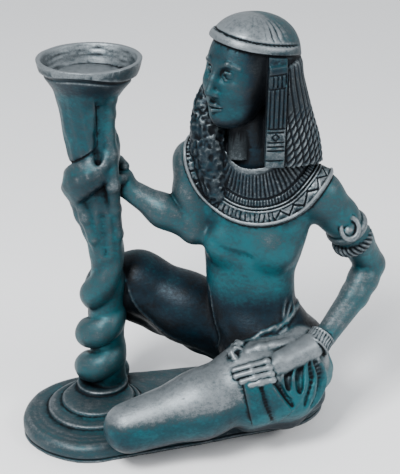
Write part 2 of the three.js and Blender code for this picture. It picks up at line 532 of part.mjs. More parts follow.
// Merges the short edges that the joins leave, cheapest first, until few enough facets are left.
// A merge keeps the skin closed: the two ends share just two neighbours, and no facet turns over.
function thin(positions, triangles, target, error) {
  const point = (i) => new THREE.Vector3().fromArray(positions, i * 3);
  const spots = Array.from({ length: positions.length / 3 }, (_, i) => point(i));
  const faces = [];
  for (let i = 0; i < triangles.length; i += 3) {
    faces.push([triangles[i], triangles[i + 1], triangles[i + 2]]);
  }
  const owned = spots.map(() => new Set());
  faces.forEach((f, i) => f.forEach((v) => owned[v].add(i)));
  const normal = (a, b, c) => new THREE.Vector3().crossVectors(b.clone().sub(a), c.clone().sub(a));
  const quadric = spots.map(() => new Float64Array(10));
  for (const f of faces) {
    const n = normal(...f.map((v) => spots[v]));
    const area = n.length();
    if (area < 1e-9) continue;
    n.divideScalar(area);
    const d = -n.dot(spots[f[0]]);
    const q = [n.x * n.x, n.x * n.y, n.x * n.z, n.x * d, n.y * n.y, n.y * n.z, n.y * d,
      n.z * n.z, n.z * d, d * d];
    for (const v of f) for (let k = 0; k < 10; k++) quadric[v][k] += q[k] * area;
  }
  const cost = (q, p) => q[0] * p.x * p.x + q[4] * p.y * p.y + q[7] * p.z * p.z + q[9]
    + 2 * (q[1] * p.x * p.y + q[2] * p.x * p.z + q[5] * p.y * p.z + q[3] * p.x + q[6] * p.y + q[8] * p.z);
  const around = (v) => {
    const ring = new Set();
    for (const i of owned[v]) for (const w of faces[i]) if (w !== v) ring.add(w);
    return ring;
  };
  let count = faces.length;
  for (let pass = 0; pass < 60; pass++) {
    const edges = [];
    faces.forEach((f) => {
      if (!f) return;
      for (let k = 0; k < 3; k++) {
        const a = f[k];
        const b = f[(k + 1) % 3];
        if (a > b) continue;
        const q = quadric[a].map((x, i) => x + quadric[b][i]);
        const size = spots[a].distanceToSquared(spots[b]);
        let best = null;
        for (const p of [spots[a].clone().lerp(spots[b], 0.5), spots[a], spots[b]]) {
          const c = Math.max(0, cost(q, p)) + 0.004 * size;
          if (!best || c < best.c) best = { a, b, c, p: p.clone(), q };
        }
        if (size < 0.36) best.c *= 1e-3;
        edges.push(best);
      }
    });
    edges.sort((x, y) => x.c - y.c);
    const touched = new Set();
    let merged = 0;
    for (const { a, b, c, p, q } of edges) {
      if ((count <= target && c > error) || merged > count / 6) break;
      if (touched.has(a) || touched.has(b)) continue;
      const ringA = around(a);
      const ringB = around(b);
      const shared = [...ringA].filter((v) => ringB.has(v));
      if (shared.length !== 2) continue;
      const tiny = spots[a].distanceToSquared(spots[b]) < 1e-4;
      let turns = false;
      for (const v of [a, b]) {
        for (const i of owned[v]) {
          const f = faces[i];
          if (f.includes(a) && f.includes(b)) continue;
          const before = normal(...f.map((w) => spots[w]));
          const after = normal(...f.map((w) => (w === v ? p : spots[w])));
          const level = before.length() * after.length();
          if (!tiny && before.length() > 1e-3 && before.dot(after) < 0.3 * level) turns = true;
        }
      }
      if (turns) continue;
      for (const i of [...owned[b]]) {
        const f = faces[i];
        if (f.includes(a)) {
          for (const w of f) owned[w].delete(i);
          faces[i] = null;
          count--;
        } else {
          f[f.indexOf(b)] = a;
          owned[a].add(i);
        }
      }
      owned[b].clear();
      spots[a] = p;
      quadric[a] = q;
      for (const v of [...ringA, ...ringB, a, b]) touched.add(v);
      merged++;
    }
    if (merged === 0) break;
  }
  const number = new Map();
  const kept = [];
  const index = [];
  for (const f of faces) {
    if (!f) continue;
    for (const v of f) {
      if (!number.has(v)) {
        number.set(v, kept.length);
        kept.push(spots[v]);
      }
      index.push(number.get(v));
    }
  }
  return new THREE.BufferGeometry().setFromPoints(kept).setIndex(index);
}

const half = new THREE.BoxGeometry(WIDE, WIDE, WIDE);
half.translate(0, 0, WIDE / 2);
const figure = kilt(wasm.Manifold.union(body()));
const cast = wasm.Manifold.union([...base(), ...candlestick(), figure, collar(), ...jewels(), ...leftHand(),
  ...rightHand(), ...head()])
  .intersect(solid(half));
const out = cast.getMesh();
const skinned = outerSkin(out.vertProperties.length / 3, out.triVerts);
const geometry = thin(out.vertProperties, skinned, FACETS, 1e-4);

// The origin is the middle of the footprint, on the underside.
geometry.computeBoundingBox();
const box = geometry.boundingBox;
geometry.translate(-(box.min.x + box.max.x) / 2, -(box.min.y + box.max.y) / 2, -box.min.z);

const plaster = new THREE.MeshStandardMaterial({ color: 0x2f5f68, roughness: 0.42, metalness: 0.35 });
const statue = new THREE.Mesh(geometry, plaster);
statue.name = 'statue';

const group = new THREE.Group();
group.add(statue);

export default group;
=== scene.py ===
"""Kneeling Egyptian woman with a twisted candlestick: the painted plaster cast, finely carved.

The carving is one distance field in millimetres, in the axes that the solid was modelled in. It is
sampled on a grid near its surface, skinned, thinned and moved into the part's frame.
"""

import math

import bpy
import numpy as np
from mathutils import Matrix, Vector


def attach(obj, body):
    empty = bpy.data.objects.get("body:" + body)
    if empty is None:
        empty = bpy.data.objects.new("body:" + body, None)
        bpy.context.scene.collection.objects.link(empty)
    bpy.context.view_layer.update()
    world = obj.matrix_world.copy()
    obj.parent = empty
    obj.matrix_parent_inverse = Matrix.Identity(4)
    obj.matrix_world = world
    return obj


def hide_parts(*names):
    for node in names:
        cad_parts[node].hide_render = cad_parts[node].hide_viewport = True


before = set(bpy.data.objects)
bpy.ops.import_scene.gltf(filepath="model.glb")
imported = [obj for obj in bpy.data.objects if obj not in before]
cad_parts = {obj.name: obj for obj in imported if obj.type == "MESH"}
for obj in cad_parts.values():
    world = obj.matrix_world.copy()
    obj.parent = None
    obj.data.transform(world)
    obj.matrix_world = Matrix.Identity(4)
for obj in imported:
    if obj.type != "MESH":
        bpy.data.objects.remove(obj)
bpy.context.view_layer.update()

# Sizes in millimetres, in the axes that the solid was modelled in
PART_ORIGIN = np.array([2.1239, -2.421, 0.0])    # where the part's origin lies in those axes
GRID_STEP = 0.7
MOST_TRIANGLES = 196_000
FAR = 60.0

BASE_HEIGHT = 12
BASE_EDGE = 5
BASE_LEFT = (-77, -4, 50)
BASE_RIGHT = (50, 28, 41)
STEPS = [(-75.5, 3, 34, 14), (-74, 9, 26, 16), (-72, 25, 18.5, 19)]     # x, y, radius, top
RIPPLES = [(-77, -3, 46), (-77, -2, 42.3), (-76.5, -1, 38.6), (-75, 5, 30.5)]    # x, y, radius
CUP_AXIS = (-73.6, 29)
CUP_RIM = 265
CUP_FLOOR = 253
CUP_RADIUS = 34.5
HEAD = np.array([31.5, 12, 261.9])
HEAD_TURN = math.radians(50)
HEAD_PITCH = math.radians(6)
BREASTS = [(17.5, 5, 139), (50.5, -4.5, 139)]
BREAST_RADII = (13.5, 8.3, 12.5)
NECK_BASE = np.array([40, 14, 205.5])
COLLAR_RADIUS = 52
NECKLINE = (22.5, 20)
COLLAR_THICK = 2.4

# Limbs: x, y, z of the middle and the radius there
LEFT_THIGH = [(64, -10, 56, 26), (38, -26, 50, 26), (0, -42, 40, 22), (-48, -57, 31, 17.5)]
LEFT_CALF = [(-46, -52, 26, 14), (0, -32, 25, 15), (40, -8, 24, 14), (68, 10, 22, 11)]
LEFT_FOOT = [(66, 14, 20, 10), (80, 26, 18, 8)]
RIGHT_THIGH = [(28, 24, 60, 24), (-10, 36, 74, 24), (-45, 46, 90, 21), (-66, 48, 90, 16)]
RIGHT_SKIRT = [(-56, 48, 72, 12), (-28, 44, 62, 12), (0, 36, 50, 11), (22, 24, 44, 11)]
RIGHT_CALF = [(-71, 50, 84, 14), (-69, 46, 60, 12), (-66, 40, 26, 9.5)]
RIGHT_FOOT = [(-62, 38, 21, 9.5), (-74, 34, 19, 8), (-83, 31, 17, 6)]
HIP_CLOTH = [(36, -38, 38, 16), (62, -26, 42, 19), (80, -6, 44, 14)]
HIP_CLOTH_LOW = [(34, -30, 24, 12), (60, -18, 22, 13), (78, -2, 24, 12)]
NECK = [(41, 16.5, 186, 14.5), (36, 12.5, 228, 13.5)]
SHOULDERS = [(-4, 30, 189, 12), (40, 17, 193, 15), (81, 6, 175, 13)]
LEFT_ARM = [(81, 6, 177, 14.5), (95, 10, 158, 13), (108.5, 20, 136, 11.5), (120.5, 29, 113, 10.7)]
LEFT_FOREARM = [(120.5, 29, 112, 10.9), (115.5, 22, 104, 10.7), (109, 14, 95.3, 9.9), (87, -11, 76, 7.7)]
RIGHT_ARM = [(-4, 30, 192, 14), (-6, 24, 170, 11.5), (-4, 16, 145, 10)]
RIGHT_FOREARM = [(-4, 16, 146, 10), (-25, 19, 158, 10.5), (-50, 24, 173, 7.5)]
STEM_SIDE = [(-81.5, 24, 162.5, 8), (-78.5, 24, 153.4, 8), (-74.5, 24, 142, 7.5), (-69, 25, 128, 7.5)]
POLE = [(-67.5, 27, 12, 12.5), (-67.5, 27, 40, 12.5), (-67, 27, 70, 12), (-66, 26, 100, 11.5),
        (-66, 25, 125, 11.5), (-68, 25, 155, 12), (-73, 26, 185, 12.5)]

# Level sections: z, middle x, middle y, half width, half depth, turn in degrees
TORSO = [(50, 50, 6, 33, 29, 0), (58, 50, 6, 37, 32, 0), (68, 50, 8, 38, 32, 0),
         (80, 43, 10, 34, 28, 0), (98, 36, 13, 31, 21, -8), (115, 35, 14, 31.5, 20, -14),
         (132, 36.5, 14, 34.5, 21, -17), (150, 38.5, 14, 37, 21, -17), (168, 39, 15, 40, 19, -17),
         (182, 40, 16, 39, 17, -17), (192, 40, 16.5, 35, 17.5, -17), (202, 40, 15.5, 28, 16.5, -17),
         (209, 40, 15, 24, 14.5, -17)]
WIG = [(194, 40, 15, 41.5, 30, -12), (199, 40, 15, 42.5, 31, -12), (215, 39.5, 15, 41, 31, -12),
       (230, 38, 15, 38, 31, -12), (245, 36.5, 14, 35, 31, -10), (258, 35.5, 13, 32.5, 30.5, -8),
       (270, 34.5, 12.5, 30.5, 29.5, -4)]
TRUNK = [(184, -75, 26, 8, 8, 0), (190, -74.5, 26, 12, 12, 0), (203, -74.5, 26, 16, 16, 0),
         (220, -76, 26.5, 17, 17, 0), (234, -76, 27, 19, 19, 0), (243, -74.5, 28, 23.5, 23.5, 0),
         (250, *CUP_AXIS, 28.5, 28.5, 0), (257, *CUP_AXIS, 32.5, 32.5, 0),
         (CUP_RIM, *CUP_AXIS, CUP_RADIUS, CUP_RADIUS, 0)]
CUP_HOLLOW = [(CUP_FLOOR, *CUP_AXIS, 24, 24, 0), (258, *CUP_AXIS, 29.2, 29.2, 0),
              (CUP_RIM, *CUP_AXIS, 32.6, 32.6, 0), (275, *CUP_AXIS, 37, 37, 0)]

# Serpent round the stem: turns counted from the left side, height, distance off the stem, radius
COIL = [(-0.5, 20, 8, 6), (0, 31, 11, 11), (0.5, 45, 5, 10), (1, 59, 10.5, 11), (1.5, 74, 4, 10),
        (2, 90, 8.5, 11), (2.5, 128, 4.5, 8), (3, 174, 9.5, 13), (3.5, 203, 11, 8.5), (3.9, 236, 17, 5)]
STEM_LINE = [(10, -70), (40, -70), (70, -68), (100, -66), (125, -66), (155, -70), (185, -73),
             (240, -76)]
STEM_Y = 25.5


# Distance-field tools: p is an array of points, one row each
def smooth_min(a, b, k):
    if k <= 0:
        return np.minimum(a, b)
    h = np.maximum(k - np.abs(a - b), 0) / k
    return np.minimum(a, b) - h * h * k / 4


def smooth_max(a, b, k):
    return -smooth_min(-a, -b, k)


def smooth_step(x, low, high):
    t = np.clip((x - low) / (high - low), 0, 1)
    return t * t * (3 - 2 * t)


def bump(x, middle, width):
    """A rounded ridge of height 1 and the given half width."""
    t = np.clip(np.abs(x - middle) / width, 0, 1)
    return (1 - t * t) ** 2


def round_cone(p, a, b, ra, rb):
    a = np.asarray(a, float)
    axis = np.asarray(b, float) - a
    length2 = axis @ axis
    dr = ra - rb
    a2 = length2 - dr * dr
    if a2 <= 0:
        return np.linalg.norm(p - (a if dr > 0 else b), axis=1) - max(ra, rb)
    pa = p - a
    y = pa @ axis
    z = y - length2
    x2 = np.sum((pa * length2 - y[:, None] * axis) ** 2, 1)
    y2 = y * y * length2
    z2 = z * z * length2
    k = np.sign(dr) * dr * dr * x2
    side = (np.sqrt(x2 * a2 / length2) + y * dr) / length2 - ra
    end = np.sqrt(x2 + z2) / length2 - rb
    start = np.sqrt(x2 + y2) / length2 - ra
    return np.where(np.sign(z) * a2 * z2 > k, end, np.where(np.sign(y) * a2 * y2 < k, start, side))


def limb(p, rows, k=6.0):
    d = None
    for near, far in zip(rows, rows[1:]):
        e = round_cone(p, near[:3], far[:3], near[3], far[3])
        d = e if d is None else smooth_min(d, e, k)
    return d


def ball(p, middle, radii):
    q = p - np.asarray(middle, float)
    r = np.asarray(radii, float)
    near = np.sqrt(np.sum((q / r) ** 2, 1))
    slope = np.sqrt(np.sum((q / (r * r)) ** 2, 1))
    return near * (near - 1) / np.maximum(slope, 1e-9)


def rounded(p, middle, radii, power):
    """A ball drawn out towards a box: the higher the power, the fuller its corners."""
    q = np.abs(p - np.asarray(middle, float)) / radii
    near = np.maximum(np.sum(q ** power, 1) ** (1 / power), 1e-6)
    slope = near ** (1 - power) * np.sqrt(np.sum((q ** (power - 1) / radii) ** 2, 1))
    return (near - 1) / np.maximum(slope, 1e-9)


def along(x, rows, column):
    """Smooth value of a column of rows at x, which is measured in their first column."""
    xs = np.array([r[0] for r in rows], float)
    ys = np.array([r[column] for r in rows], float)
    h = np.diff(xs)
    rise = np.diff(ys) / h
    slope = np.zeros(len(xs))
    slope[0] = rise[0]
    slope[-1] = rise[-1]
    for i in range(1, len(xs) - 1):
        if rise[i - 1] * rise[i] > 0:
            slope[i] = 2 * rise[i - 1] * rise[i] / (rise[i - 1] + rise[i])
    x = np.clip(x, xs[0], xs[-1])
    i = np.clip(np.searchsorted(xs, x, side="right") - 1, 0, len(xs) - 2)
    t = (x - xs[i]) / h[i]
    low = (1 + 2 * t) * (1 - t) ** 2 * ys[i] + t * (1 - t) ** 2 * h[i] * slope[i]
    high = t * t * (3 - 2 * t) * ys[i + 1] + t * t * (t - 1) * h[i] * slope[i + 1]
    return low + high


def levels(p, rows):
    """Distance to level oval sections, with the angle round them and the reach from their middle."""
    x, y, a, b, turn = [along(p[:, 2], rows, i) for i in range(1, 6)]
    turn = np.radians(turn)
    dx = p[:, 0] - x
    dy = p[:, 1] - y
    u = (dx * np.cos(turn) + dy * np.sin(turn)) / a
    w = (dy * np.cos(turn) - dx * np.sin(turn)) / b
    reach = np.sqrt(u * u + w * w)
    ends = np.maximum(rows[0][0] - p[:, 2], p[:, 2] - rows[-1][0])
    return np.maximum((reach - 1) * np.minimum(a, b), ends), np.arctan2(w, u), reach


RANDOM = np.random.default_rng(41)
LATTICE = RANDOM.random((32, 32, 32)) * 2 - 1


def noise(p, size, shift=0.0):
    """Smooth random values from -1 to 1, with lumps of the given size."""
    q = p / size + shift
    cell = np.floor(q).astype(int)
    f = q - cell
    f = f * f * (3 - 2 * f)
    total = np.zeros(len(p))
    for corner in range(8):
        step = np.array([corner & 1, corner >> 1 & 1, corner >> 2])
        weight = np.prod(np.where(step, f, 1 - f), axis=1)
        i, j, k = ((cell + step) & 31).T
        total += weight * LATTICE[i, j, k]
    return total


# Base
def plate(p):
    flat = p.copy()
    flat[:, 2] = 0
    rim = round_cone(flat, (*BASE_LEFT[:2], 0), (*BASE_RIGHT[:2], 0), BASE_LEFT[2], BASE_RIGHT[2])
    rim += 0.5 * noise(p, 26) + 0.7 * bump(p[:, 2], 2.6, 1.6)
    out = rim + BASE_EDGE
    up = p[:, 2] - BASE_HEIGHT + BASE_EDGE
    d = np.minimum(np.maximum(out, up), 0) + np.hypot(np.maximum(out, 0), np.maximum(up, 0)) - BASE_EDGE
    for x, y, r, top in STEPS:
        away = np.hypot(p[:, 0] - x, p[:, 1] - y) - r
        d = smooth_min(d, smooth_max(away, p[:, 2] - top, 1.6), 1.4)
    for x, y, r in RIPPLES:
        away = np.hypot(p[:, 0] - x, p[:, 1] - y)
        d = d - 0.3 * bump(away, r, 3.2) * (p[:, 2] > BASE_HEIGHT - 4)
    return d - 0.25 * noise(p, 7)


# Candlestick
def coil_rows(first, last, count):
    rows = []
    for i in range(count + 1):
        turn = np.array([first + (last - first) * i / count])
        z, off, r = [along(turn, COIL, column)[0] for column in (1, 2, 3)]
        x = np.interp(z, *zip(*STEM_LINE))
        a = math.pi + 2 * math.pi * turn[0]
        rows.append((x + off * math.cos(a), STEM_Y + off * math.sin(a), z, r))
    return rows


def strand_rows(rows, share, phase, twist):
    """A thinner strand that winds along the skin of a tube."""
    strand = []
    for i, (x, y, z, r) in enumerate(rows):
        before = np.array(rows[max(i - 1, 0)][:3])
        after = np.array(rows[min(i + 1, len(rows) - 1)][:3])
        run = (after - before) / np.linalg.norm(after - before)
        side = np.cross(run, (0, 0, 1))
        side /= np.linalg.norm(side)
        lift = np.cross(side, run)
        a = phase + twist * i / len(rows)
        spot = np.array([x, y, z]) + (side * math.cos(a) + lift * math.sin(a)) * r * (1 - share * 0.75)
        strand.append((*spot, r * share))
    return strand


COIL_ROWS = coil_rows(COIL[0][0], COIL[-1][0], 100)
FAT_ROWS = coil_rows(2.62, 3.45, 16)
TRUNK_GROOVE = [(-67, 9.6, 236, 0.8), (-66.7, 10.7, 228, 1.6),
                (-67.9, 11.6, 216.5, 1.9), (-68.3, 10.8, 202.6, 2.1), (-68.8, 9, 190, 1.4)]
TRUNK_STRAND = [(-59.5, 10, 250, 3.5), (-59.3, 16, 241, 4.4), (-60.6, 20, 228.5, 4.2),
                (-61.7, 20, 214.4, 4.6), (-60.4, 17, 200, 5), (-59, 12, 180, 4.6),
                (-58.5, 18, 160, 4.2), (-57.6, 21, 139.8, 4), (-59, 20, 122, 3)]
STEM_GROOVE = [(-67.6, 8.5, 167, 1), (-67.1, 11.6, 156, 1.8), (-66.3, 12.2, 142.3, 2), (-65.2, 12.1, 128, 1)]
STEM_BANDS = [[(-84, 17, 168, 2.4), (-79, 15, 154, 3.4), (-74, 15.5, 138, 3.2), (-70, 17, 124, 2)]]
TEAR = (-66.2, 6.4, 172.2)
LIP_EDGE = 253.5


def trunk(p):
    d, angle, reach = levels(p, TRUNK)
    cover = smooth_step(p[:, 2] - (195.5 + 0.75 * (p[:, 0] + 86)), -0.4, 0.6) * smooth_step(p[:, 2], 246, 236)
    flutes = np.abs(np.sin(angle * 7 + p[:, 2] * 0.05))
    d = d - 1.0 * cover * (p[:, 0] < -69) + 0.35 * flutes * smooth_step(p[:, 2], 243, 236)
    d = d - (0.5 - 0.4 * smooth_step(p[:, 2], 240, 252)) * noise(p * (1, 1, 0.45), 5.5)
    edge = LIP_EDGE - 6 * np.sin(angle) - 2 * np.cos(angle) + 0.9 * np.sin(4 * angle + 2)
    d = d - 1.2 * smooth_step(p[:, 2] - edge, -0.3, 0.7) + 0.9 * bump(p[:, 2] - edge, -1.8, 2)
    hollow = levels(p, CUP_HOLLOW)[0] + 0.35 * noise(p * (0.4, 0.4, 2), 4)
    lip = CUP_RIM - p[:, 2] - 0.15 * noise(p, 8)
    return smooth_max(smooth_max(d, -hollow, 1.2), -lip, 0.8)


def stem(p):
    d = smooth_min(smooth_min(limb(p, POLE, 4), limb(p, STEM_SIDE, 4), 4), limb(p, COIL_ROWS, 1), 1.5)
    d = d - 0.45 * noise(p * (1, 1, 0.5), 7)
    return d


# Head: distances ahead of, beside and above its middle
AHEAD = np.array([-math.sin(HEAD_TURN), -math.cos(HEAD_TURN), 0]) * math.cos(HEAD_PITCH)
AHEAD[2] = math.sin(HEAD_PITCH)
BESIDE = np.array([math.cos(HEAD_TURN), -math.sin(HEAD_TURN), 0])
ABOVE = np.cross(BESIDE, AHEAD) * -1
HEAD_AXES = np.stack([AHEAD, BESIDE, ABOVE])
BAND_LEVEL = 20.2
BAND_LEAN = (0.1, -0.08)
BAND_HALF = 2.7
OPENING_LEFT = math.radians(72)
OPENING_RIGHT = math.radians(75)
FACE_MIDDLE = (-4, 0, 8)
FACE_SIZE = 1.14


def in_head(p):
    return (p - HEAD) @ HEAD_AXES.T


def both_sides(rows):
    return [rows, [(row[0], -row[1], *row[2:]) for row in rows]]


def face(p):
    q = (in_head(p) - FACE_MIDDLE) / FACE_SIZE + FACE_MIDDLE
    d = ball(q, FACE_MIDDLE, (28, 23, 25))
    d = smooth_min(d, ball(q, (8, 0, -8), (17, 17.5, 24)), 8)
    d = smooth_min(d, ball(q, (15.5, 0, -24.5), (7.5, 7.5, 6.3)), 5)
    for side in (-1, 1):
        d = smooth_min(d, ball(q, (14.5, 10.5 * side, -6.5), (7, 6, 6)), 5)
        d = smooth_max(d, -ball(q, (25.5, 7.6 * side, 1.4), (4.4, 5.2, 3.8)), 3)
        d = smooth_min(d, ball(q, (18.6, 7.6 * side, 1.2), (4, 4.6, 3.6)), 0.6)
    for brow in both_sides([(23.5, 3, 6, 1), (23.2, 8, 8, 1.4), (19.3, 13.6, 6.4, 1.1)]):
        d = smooth_min(d, limb(q, brow, 1), 1.2)
    for lid in both_sides([(22.3, 3.9, 0.7, 0.6), (22.8, 6.4, 3, 0.85), (21.7, 9.4, 2.8, 0.85), (19, 12.6, 0.7, 0.6)]):
        d = smooth_min(d, limb(q, lid, 0.4), 0.5)
    for lid in both_sides([(22.3, 3.9, 0.5, 0.5), (22.6, 7, -1.3, 0.65), (21.3, 10, -1, 0.65), (19, 12.6, 0.5, 0.5)]):
        d = smooth_min(d, limb(q, lid, 0.4), 0.5)
    d = smooth_min(d, limb(q, [(23, 0, 6, 1.9), (26, 0, -2, 2), (28.2, 0, -9, 2.6)], 2), 2.5)
    for side in (-1, 1):
        d = smooth_min(d, ball(q, (25, 2.8 * side, -10.2), (2.6, 2.1, 2)), 2.2)
        d = smooth_max(d, -ball(q, (27, 1.8 * side, -12.4), (1.5, 0.8, 0.8)), 0.4)
    upper = [(22.6, -6, -17.9, 0.5), (24.4, -2.4, -16.6, 1.2), (24.7, 0, -17, 1.2), (24.4, 2.4, -16.6, 1.2),
             (22.6, 6, -17.9, 0.5)]
    lower = [(22.6, -5, -18.9, 0.6), (24.3, 0, -20, 1.5), (22.6, 5, -18.9, 0.6)]
    mouth = [(22.6, -6.2, -18, 0.35), (25.2, 0, -18.4, 0.45), (22.6, 6.2, -18, 0.35)]
    d = smooth_min(d, limb(q, upper, 0.8), 1)
    d = smooth_min(d, limb(q, lower, 0.8), 1)
    return smooth_max(d, -limb(q, mouth, 0.5), 0.5) * FACE_SIZE


PLAITS = 38
TWIST_PITCH = 4.6
STRAP_MIDDLE = 48.4
STRAP_LEAN = 0.016
STRAP_HALF = 6.3
STRAP_HIGH = 278


def plaits(angle, z):
    """Upright plaits: plain locks under the headband, twisted like rope lower down."""
    lane = angle * PLAITS / (2 * math.pi)
    number = np.floor(lane)
    t = (lane - number) * 2 - 1
    rounded_lane = np.sqrt(np.maximum(1 - t * t, 0))
    start = np.abs(np.sin(number * 12.9898)) * TWIST_PITCH
    turn = ((z + start) / TWIST_PITCH - 0.55 * t) % 1
    rope = np.abs(np.sin(math.pi * turn)) ** 0.7
    low = smooth_step(z, 246, 232)
    return rounded_lane * (1 + low * (rope - 1) * 0.8)


def strap_side(p):
    """Signed distance beside the strap's middle line, which leans a little."""
    return p[:, 0] - STRAP_MIDDLE - STRAP_LEAN * (p[:, 2] - 203)


def strap_relief(p):
    """Cuts across and along the strap: bars at its head, long lines, then bands and a diamond."""
    side = strap_side(p)
    x = np.abs(side)
    z = p[:, 2]
    cut = np.zeros(len(p))
    for level in (266.5, 257.8, 231, 228.6, 222, 219, 216.2, 209.5):
        cut = np.maximum(cut, bump(z, level, 0.8))
    bars = np.abs(np.sin(side * math.pi / 2.7)) < 0.45
    cut = np.maximum(cut, bars * (z > 258.5) * (z < 266))
    runs = (z > 231) * (z < 257.5)
    for line in (1.6, 4.4):
        cut = np.maximum(cut, bump(x, line, 0.8) * runs)
    diamond = x + np.abs(z - 225.3)
    cut = np.maximum(cut, bump(diamond, 2.4, 0.8) * (z > 222.6) * (z < 228))
    return cut * (x < STRAP_HALF - 0.7)


def band_level(q):
    """Height above the middle of the headband, which leans with the head's turn."""
    return q[:, 2] - BAND_LEVEL - BAND_LEAN[0] * q[:, 0] - BAND_LEAN[1] * q[:, 1]


def wig(p):
    q = in_head(p)
    crown = rounded(q, (-3, 0, 8), (33, 28, 30.3), 2.3)
    low, angle, reach = levels(p, WIG)
    whole = smooth_min(crown, low, 4)
    level = band_level(q)
    hair = plaits(angle, p[:, 2]) * smooth_step(level, -4, -9) * (reach > 0.93)
    round_head = np.arctan2(q[:, 1], q[:, 0])
    shown = smooth_step(np.abs(round_head), 2.5, 1.9)
    wander = 1.8 * noise(q * (0.3, 0.3, 1), 9)
    fan = np.abs(np.sin(round_head * 15 + wander))
    fan_zone = smooth_step(level, 3.6, 6) * smooth_step(q[:, 2], 38, 33) * (0.25 + 0.75 * bump(round_head, 1.35, 0.9))
    d = whole - 1.5 * (hair - 0.5) + fan_zone * (0.45 * (1 - fan) ** 2 * (0.7 + noise(q, 7)) + 0.25 * noise(p, 3.2))
    d = d + 0.5 * smooth_step(level, -3, -4.5)
    ends = 201.7 - 0.17 * p[:, 1]
    d = np.maximum(d, ends + 1.2 - 2.2 * hair - p[:, 2])
    across = np.abs(strap_side(p)) - STRAP_HALF
    in_strap = (p[:, 1] < 4) * (level < -BAND_HALF)
    d = np.where((across < 0.9) & (in_strap > 0), np.maximum(d, whole + 0.7), d)
    strap = np.maximum(across, whole - 1.4 + 0.9 * strap_relief(p))
    strap = np.maximum(strap, np.maximum(ends - p[:, 2], p[:, 2] - STRAP_HIGH))
    strap = np.maximum(strap, np.maximum(p[:, 1] - 4, level + BAND_HALF + 0.8))
    d = np.minimum(d, strap)
    roll = np.sqrt(np.maximum(1 - (level / BAND_HALF) ** 2, 0))
    d = d - shown * (1.1 * roll ** 0.6 - 0.7 * bump(level, BAND_HALF + 0.7, 1.1))
    d = d + 0.7 * shown * bump(level, -BAND_HALF - 0.7, 1)
    side = np.hypot(q[:, 0], q[:, 1])
    half = np.where(q[:, 1] > 0, OPENING_LEFT, OPENING_RIGHT)
    ahead = np.maximum(strap_side(p) + STRAP_HALF + 0.3, p[:, 1] - 6)
    opening = np.maximum(np.minimum((np.abs(round_head) - half) * side, ahead), level + BAND_HALF)
    opening = np.maximum(opening, 9 - side)
    return smooth_max(d, -opening, 1.4)


LOCK = [(6, 27, 243, 6), (4.5, 24, 232, 7.5), (5.5, 21, 220, 10.5), (7.5, 19, 205, 12.5), (9.5, 15, 191, 11),
        (11, 11.5, 179, 8), (13, 8.5, 170, 5)]


def lock(p):
    """The wig's front tresses on her right, a rough mass of small curls."""
    d = limb(p, LOCK, 6)
    drift = np.stack([noise(p, 6), noise(p, 6, 4), noise(p, 6, 8)], 1)
    curls = 1 - 2 * np.abs(noise(p * (1, 1, 0.75) + 2.2 * drift, 3.4, 2))
    return d - 0.65 * curls - 0.6 * noise(p, 2.4, 6)


# Collar: rings and rays round the base of the neck
COLLAR_AXIS = np.array([-0.12, -0.42, 0.9])
COLLAR_AXIS /= np.linalg.norm(COLLAR_AXIS)
COLLAR_SIDE = np.cross((0, 1, 0), COLLAR_AXIS)
COLLAR_SIDE /= np.linalg.norm(COLLAR_SIDE)
COLLAR_BACK = np.cross(COLLAR_AXIS, COLLAR_SIDE)
COLLAR_RAYS = 64
COLLAR_TEETH = 26


def upper_body(p):
    d = levels(p, TORSO)[0]
    d = smooth_min(d, limb(p, LEFT_ARM, 8), 8)
    d = smooth_min(d, limb(p, RIGHT_ARM, 8), 8)
    d = smooth_min(d, limb(p, SHOULDERS, 6), 6)
    return smooth_min(d, limb(p, NECK, 6), 8)


def neckline(p):
    """Reach from the collar's own axis, 1 on its oval edge round the neck."""
    q = p - NECK_BASE
    return np.hypot(q @ COLLAR_SIDE / NECKLINE[0], q @ COLLAR_BACK / NECKLINE[1])


def collar(p):
    q = p - NECK_BASE
    rho = np.linalg.norm(q, axis=1)
    turn = np.arctan2(q @ COLLAR_BACK, q @ COLLAR_SIDE)
    body = upper_body(p)
    edge = neckline(p)
    rays = np.abs(np.sin(turn * COLLAR_RAYS / 2 + 0.5 * noise(p, 5)))
    inner = smooth_step(edge, 1.07, 1.12) * smooth_step(rho, 40.2, 39.4)
    row = smooth_step(rho, 33.4, 33.9) * smooth_step(rho, 35.2, 34.7)
    beads = np.abs(np.sin(turn * COLLAR_RAYS * 0.75)) * smooth_step(rho, 34.8, 35.3) * smooth_step(rho, 39, 38.4)
    flutes = np.where(rho > 34.6, beads, rays) * inner * (1 - row)
    relief = 1.0 * (np.sqrt(flutes) - 0.75) * inner
    relief += 0.9 * bump(edge, 1.035, 0.04)
    relief += 0.9 * bump(rho, 40.4, 1.2) + 0.8 * bump(rho, 42.6, 1) - 0.5 * bump(rho, 41.5, 0.7)
    band = smooth_step(rho, 43.5, 44) * smooth_step(rho, 49.4, 48.9)
    lane = turn * COLLAR_TEETH / (2 * math.pi)
    zigzag = 44.1 + 4.6 * np.abs(2 * (lane - np.floor(lane)) - 1)
    teeth = bump(rho, zigzag, 0.95)
    bars = bump(np.abs(np.sin(turn * COLLAR_TEETH * 1.4 + noise(p, 6))), 0, 0.5)
    on_right = smooth_step(p[:, 0], 46, 54)
    relief += band * (0.35 - 1.0 * (teeth * on_right + bars * (1 - on_right)))
    relief += 1.4 * bump(rho, COLLAR_RADIUS - 1.4, 1.7)
    d = body - COLLAR_THICK - relief + 0.12 * noise(p, 1.6)
    return smooth_max(smooth_max(d, rho - COLLAR_RADIUS, 1), (1 - edge) * NECKLINE[1], 0.7)


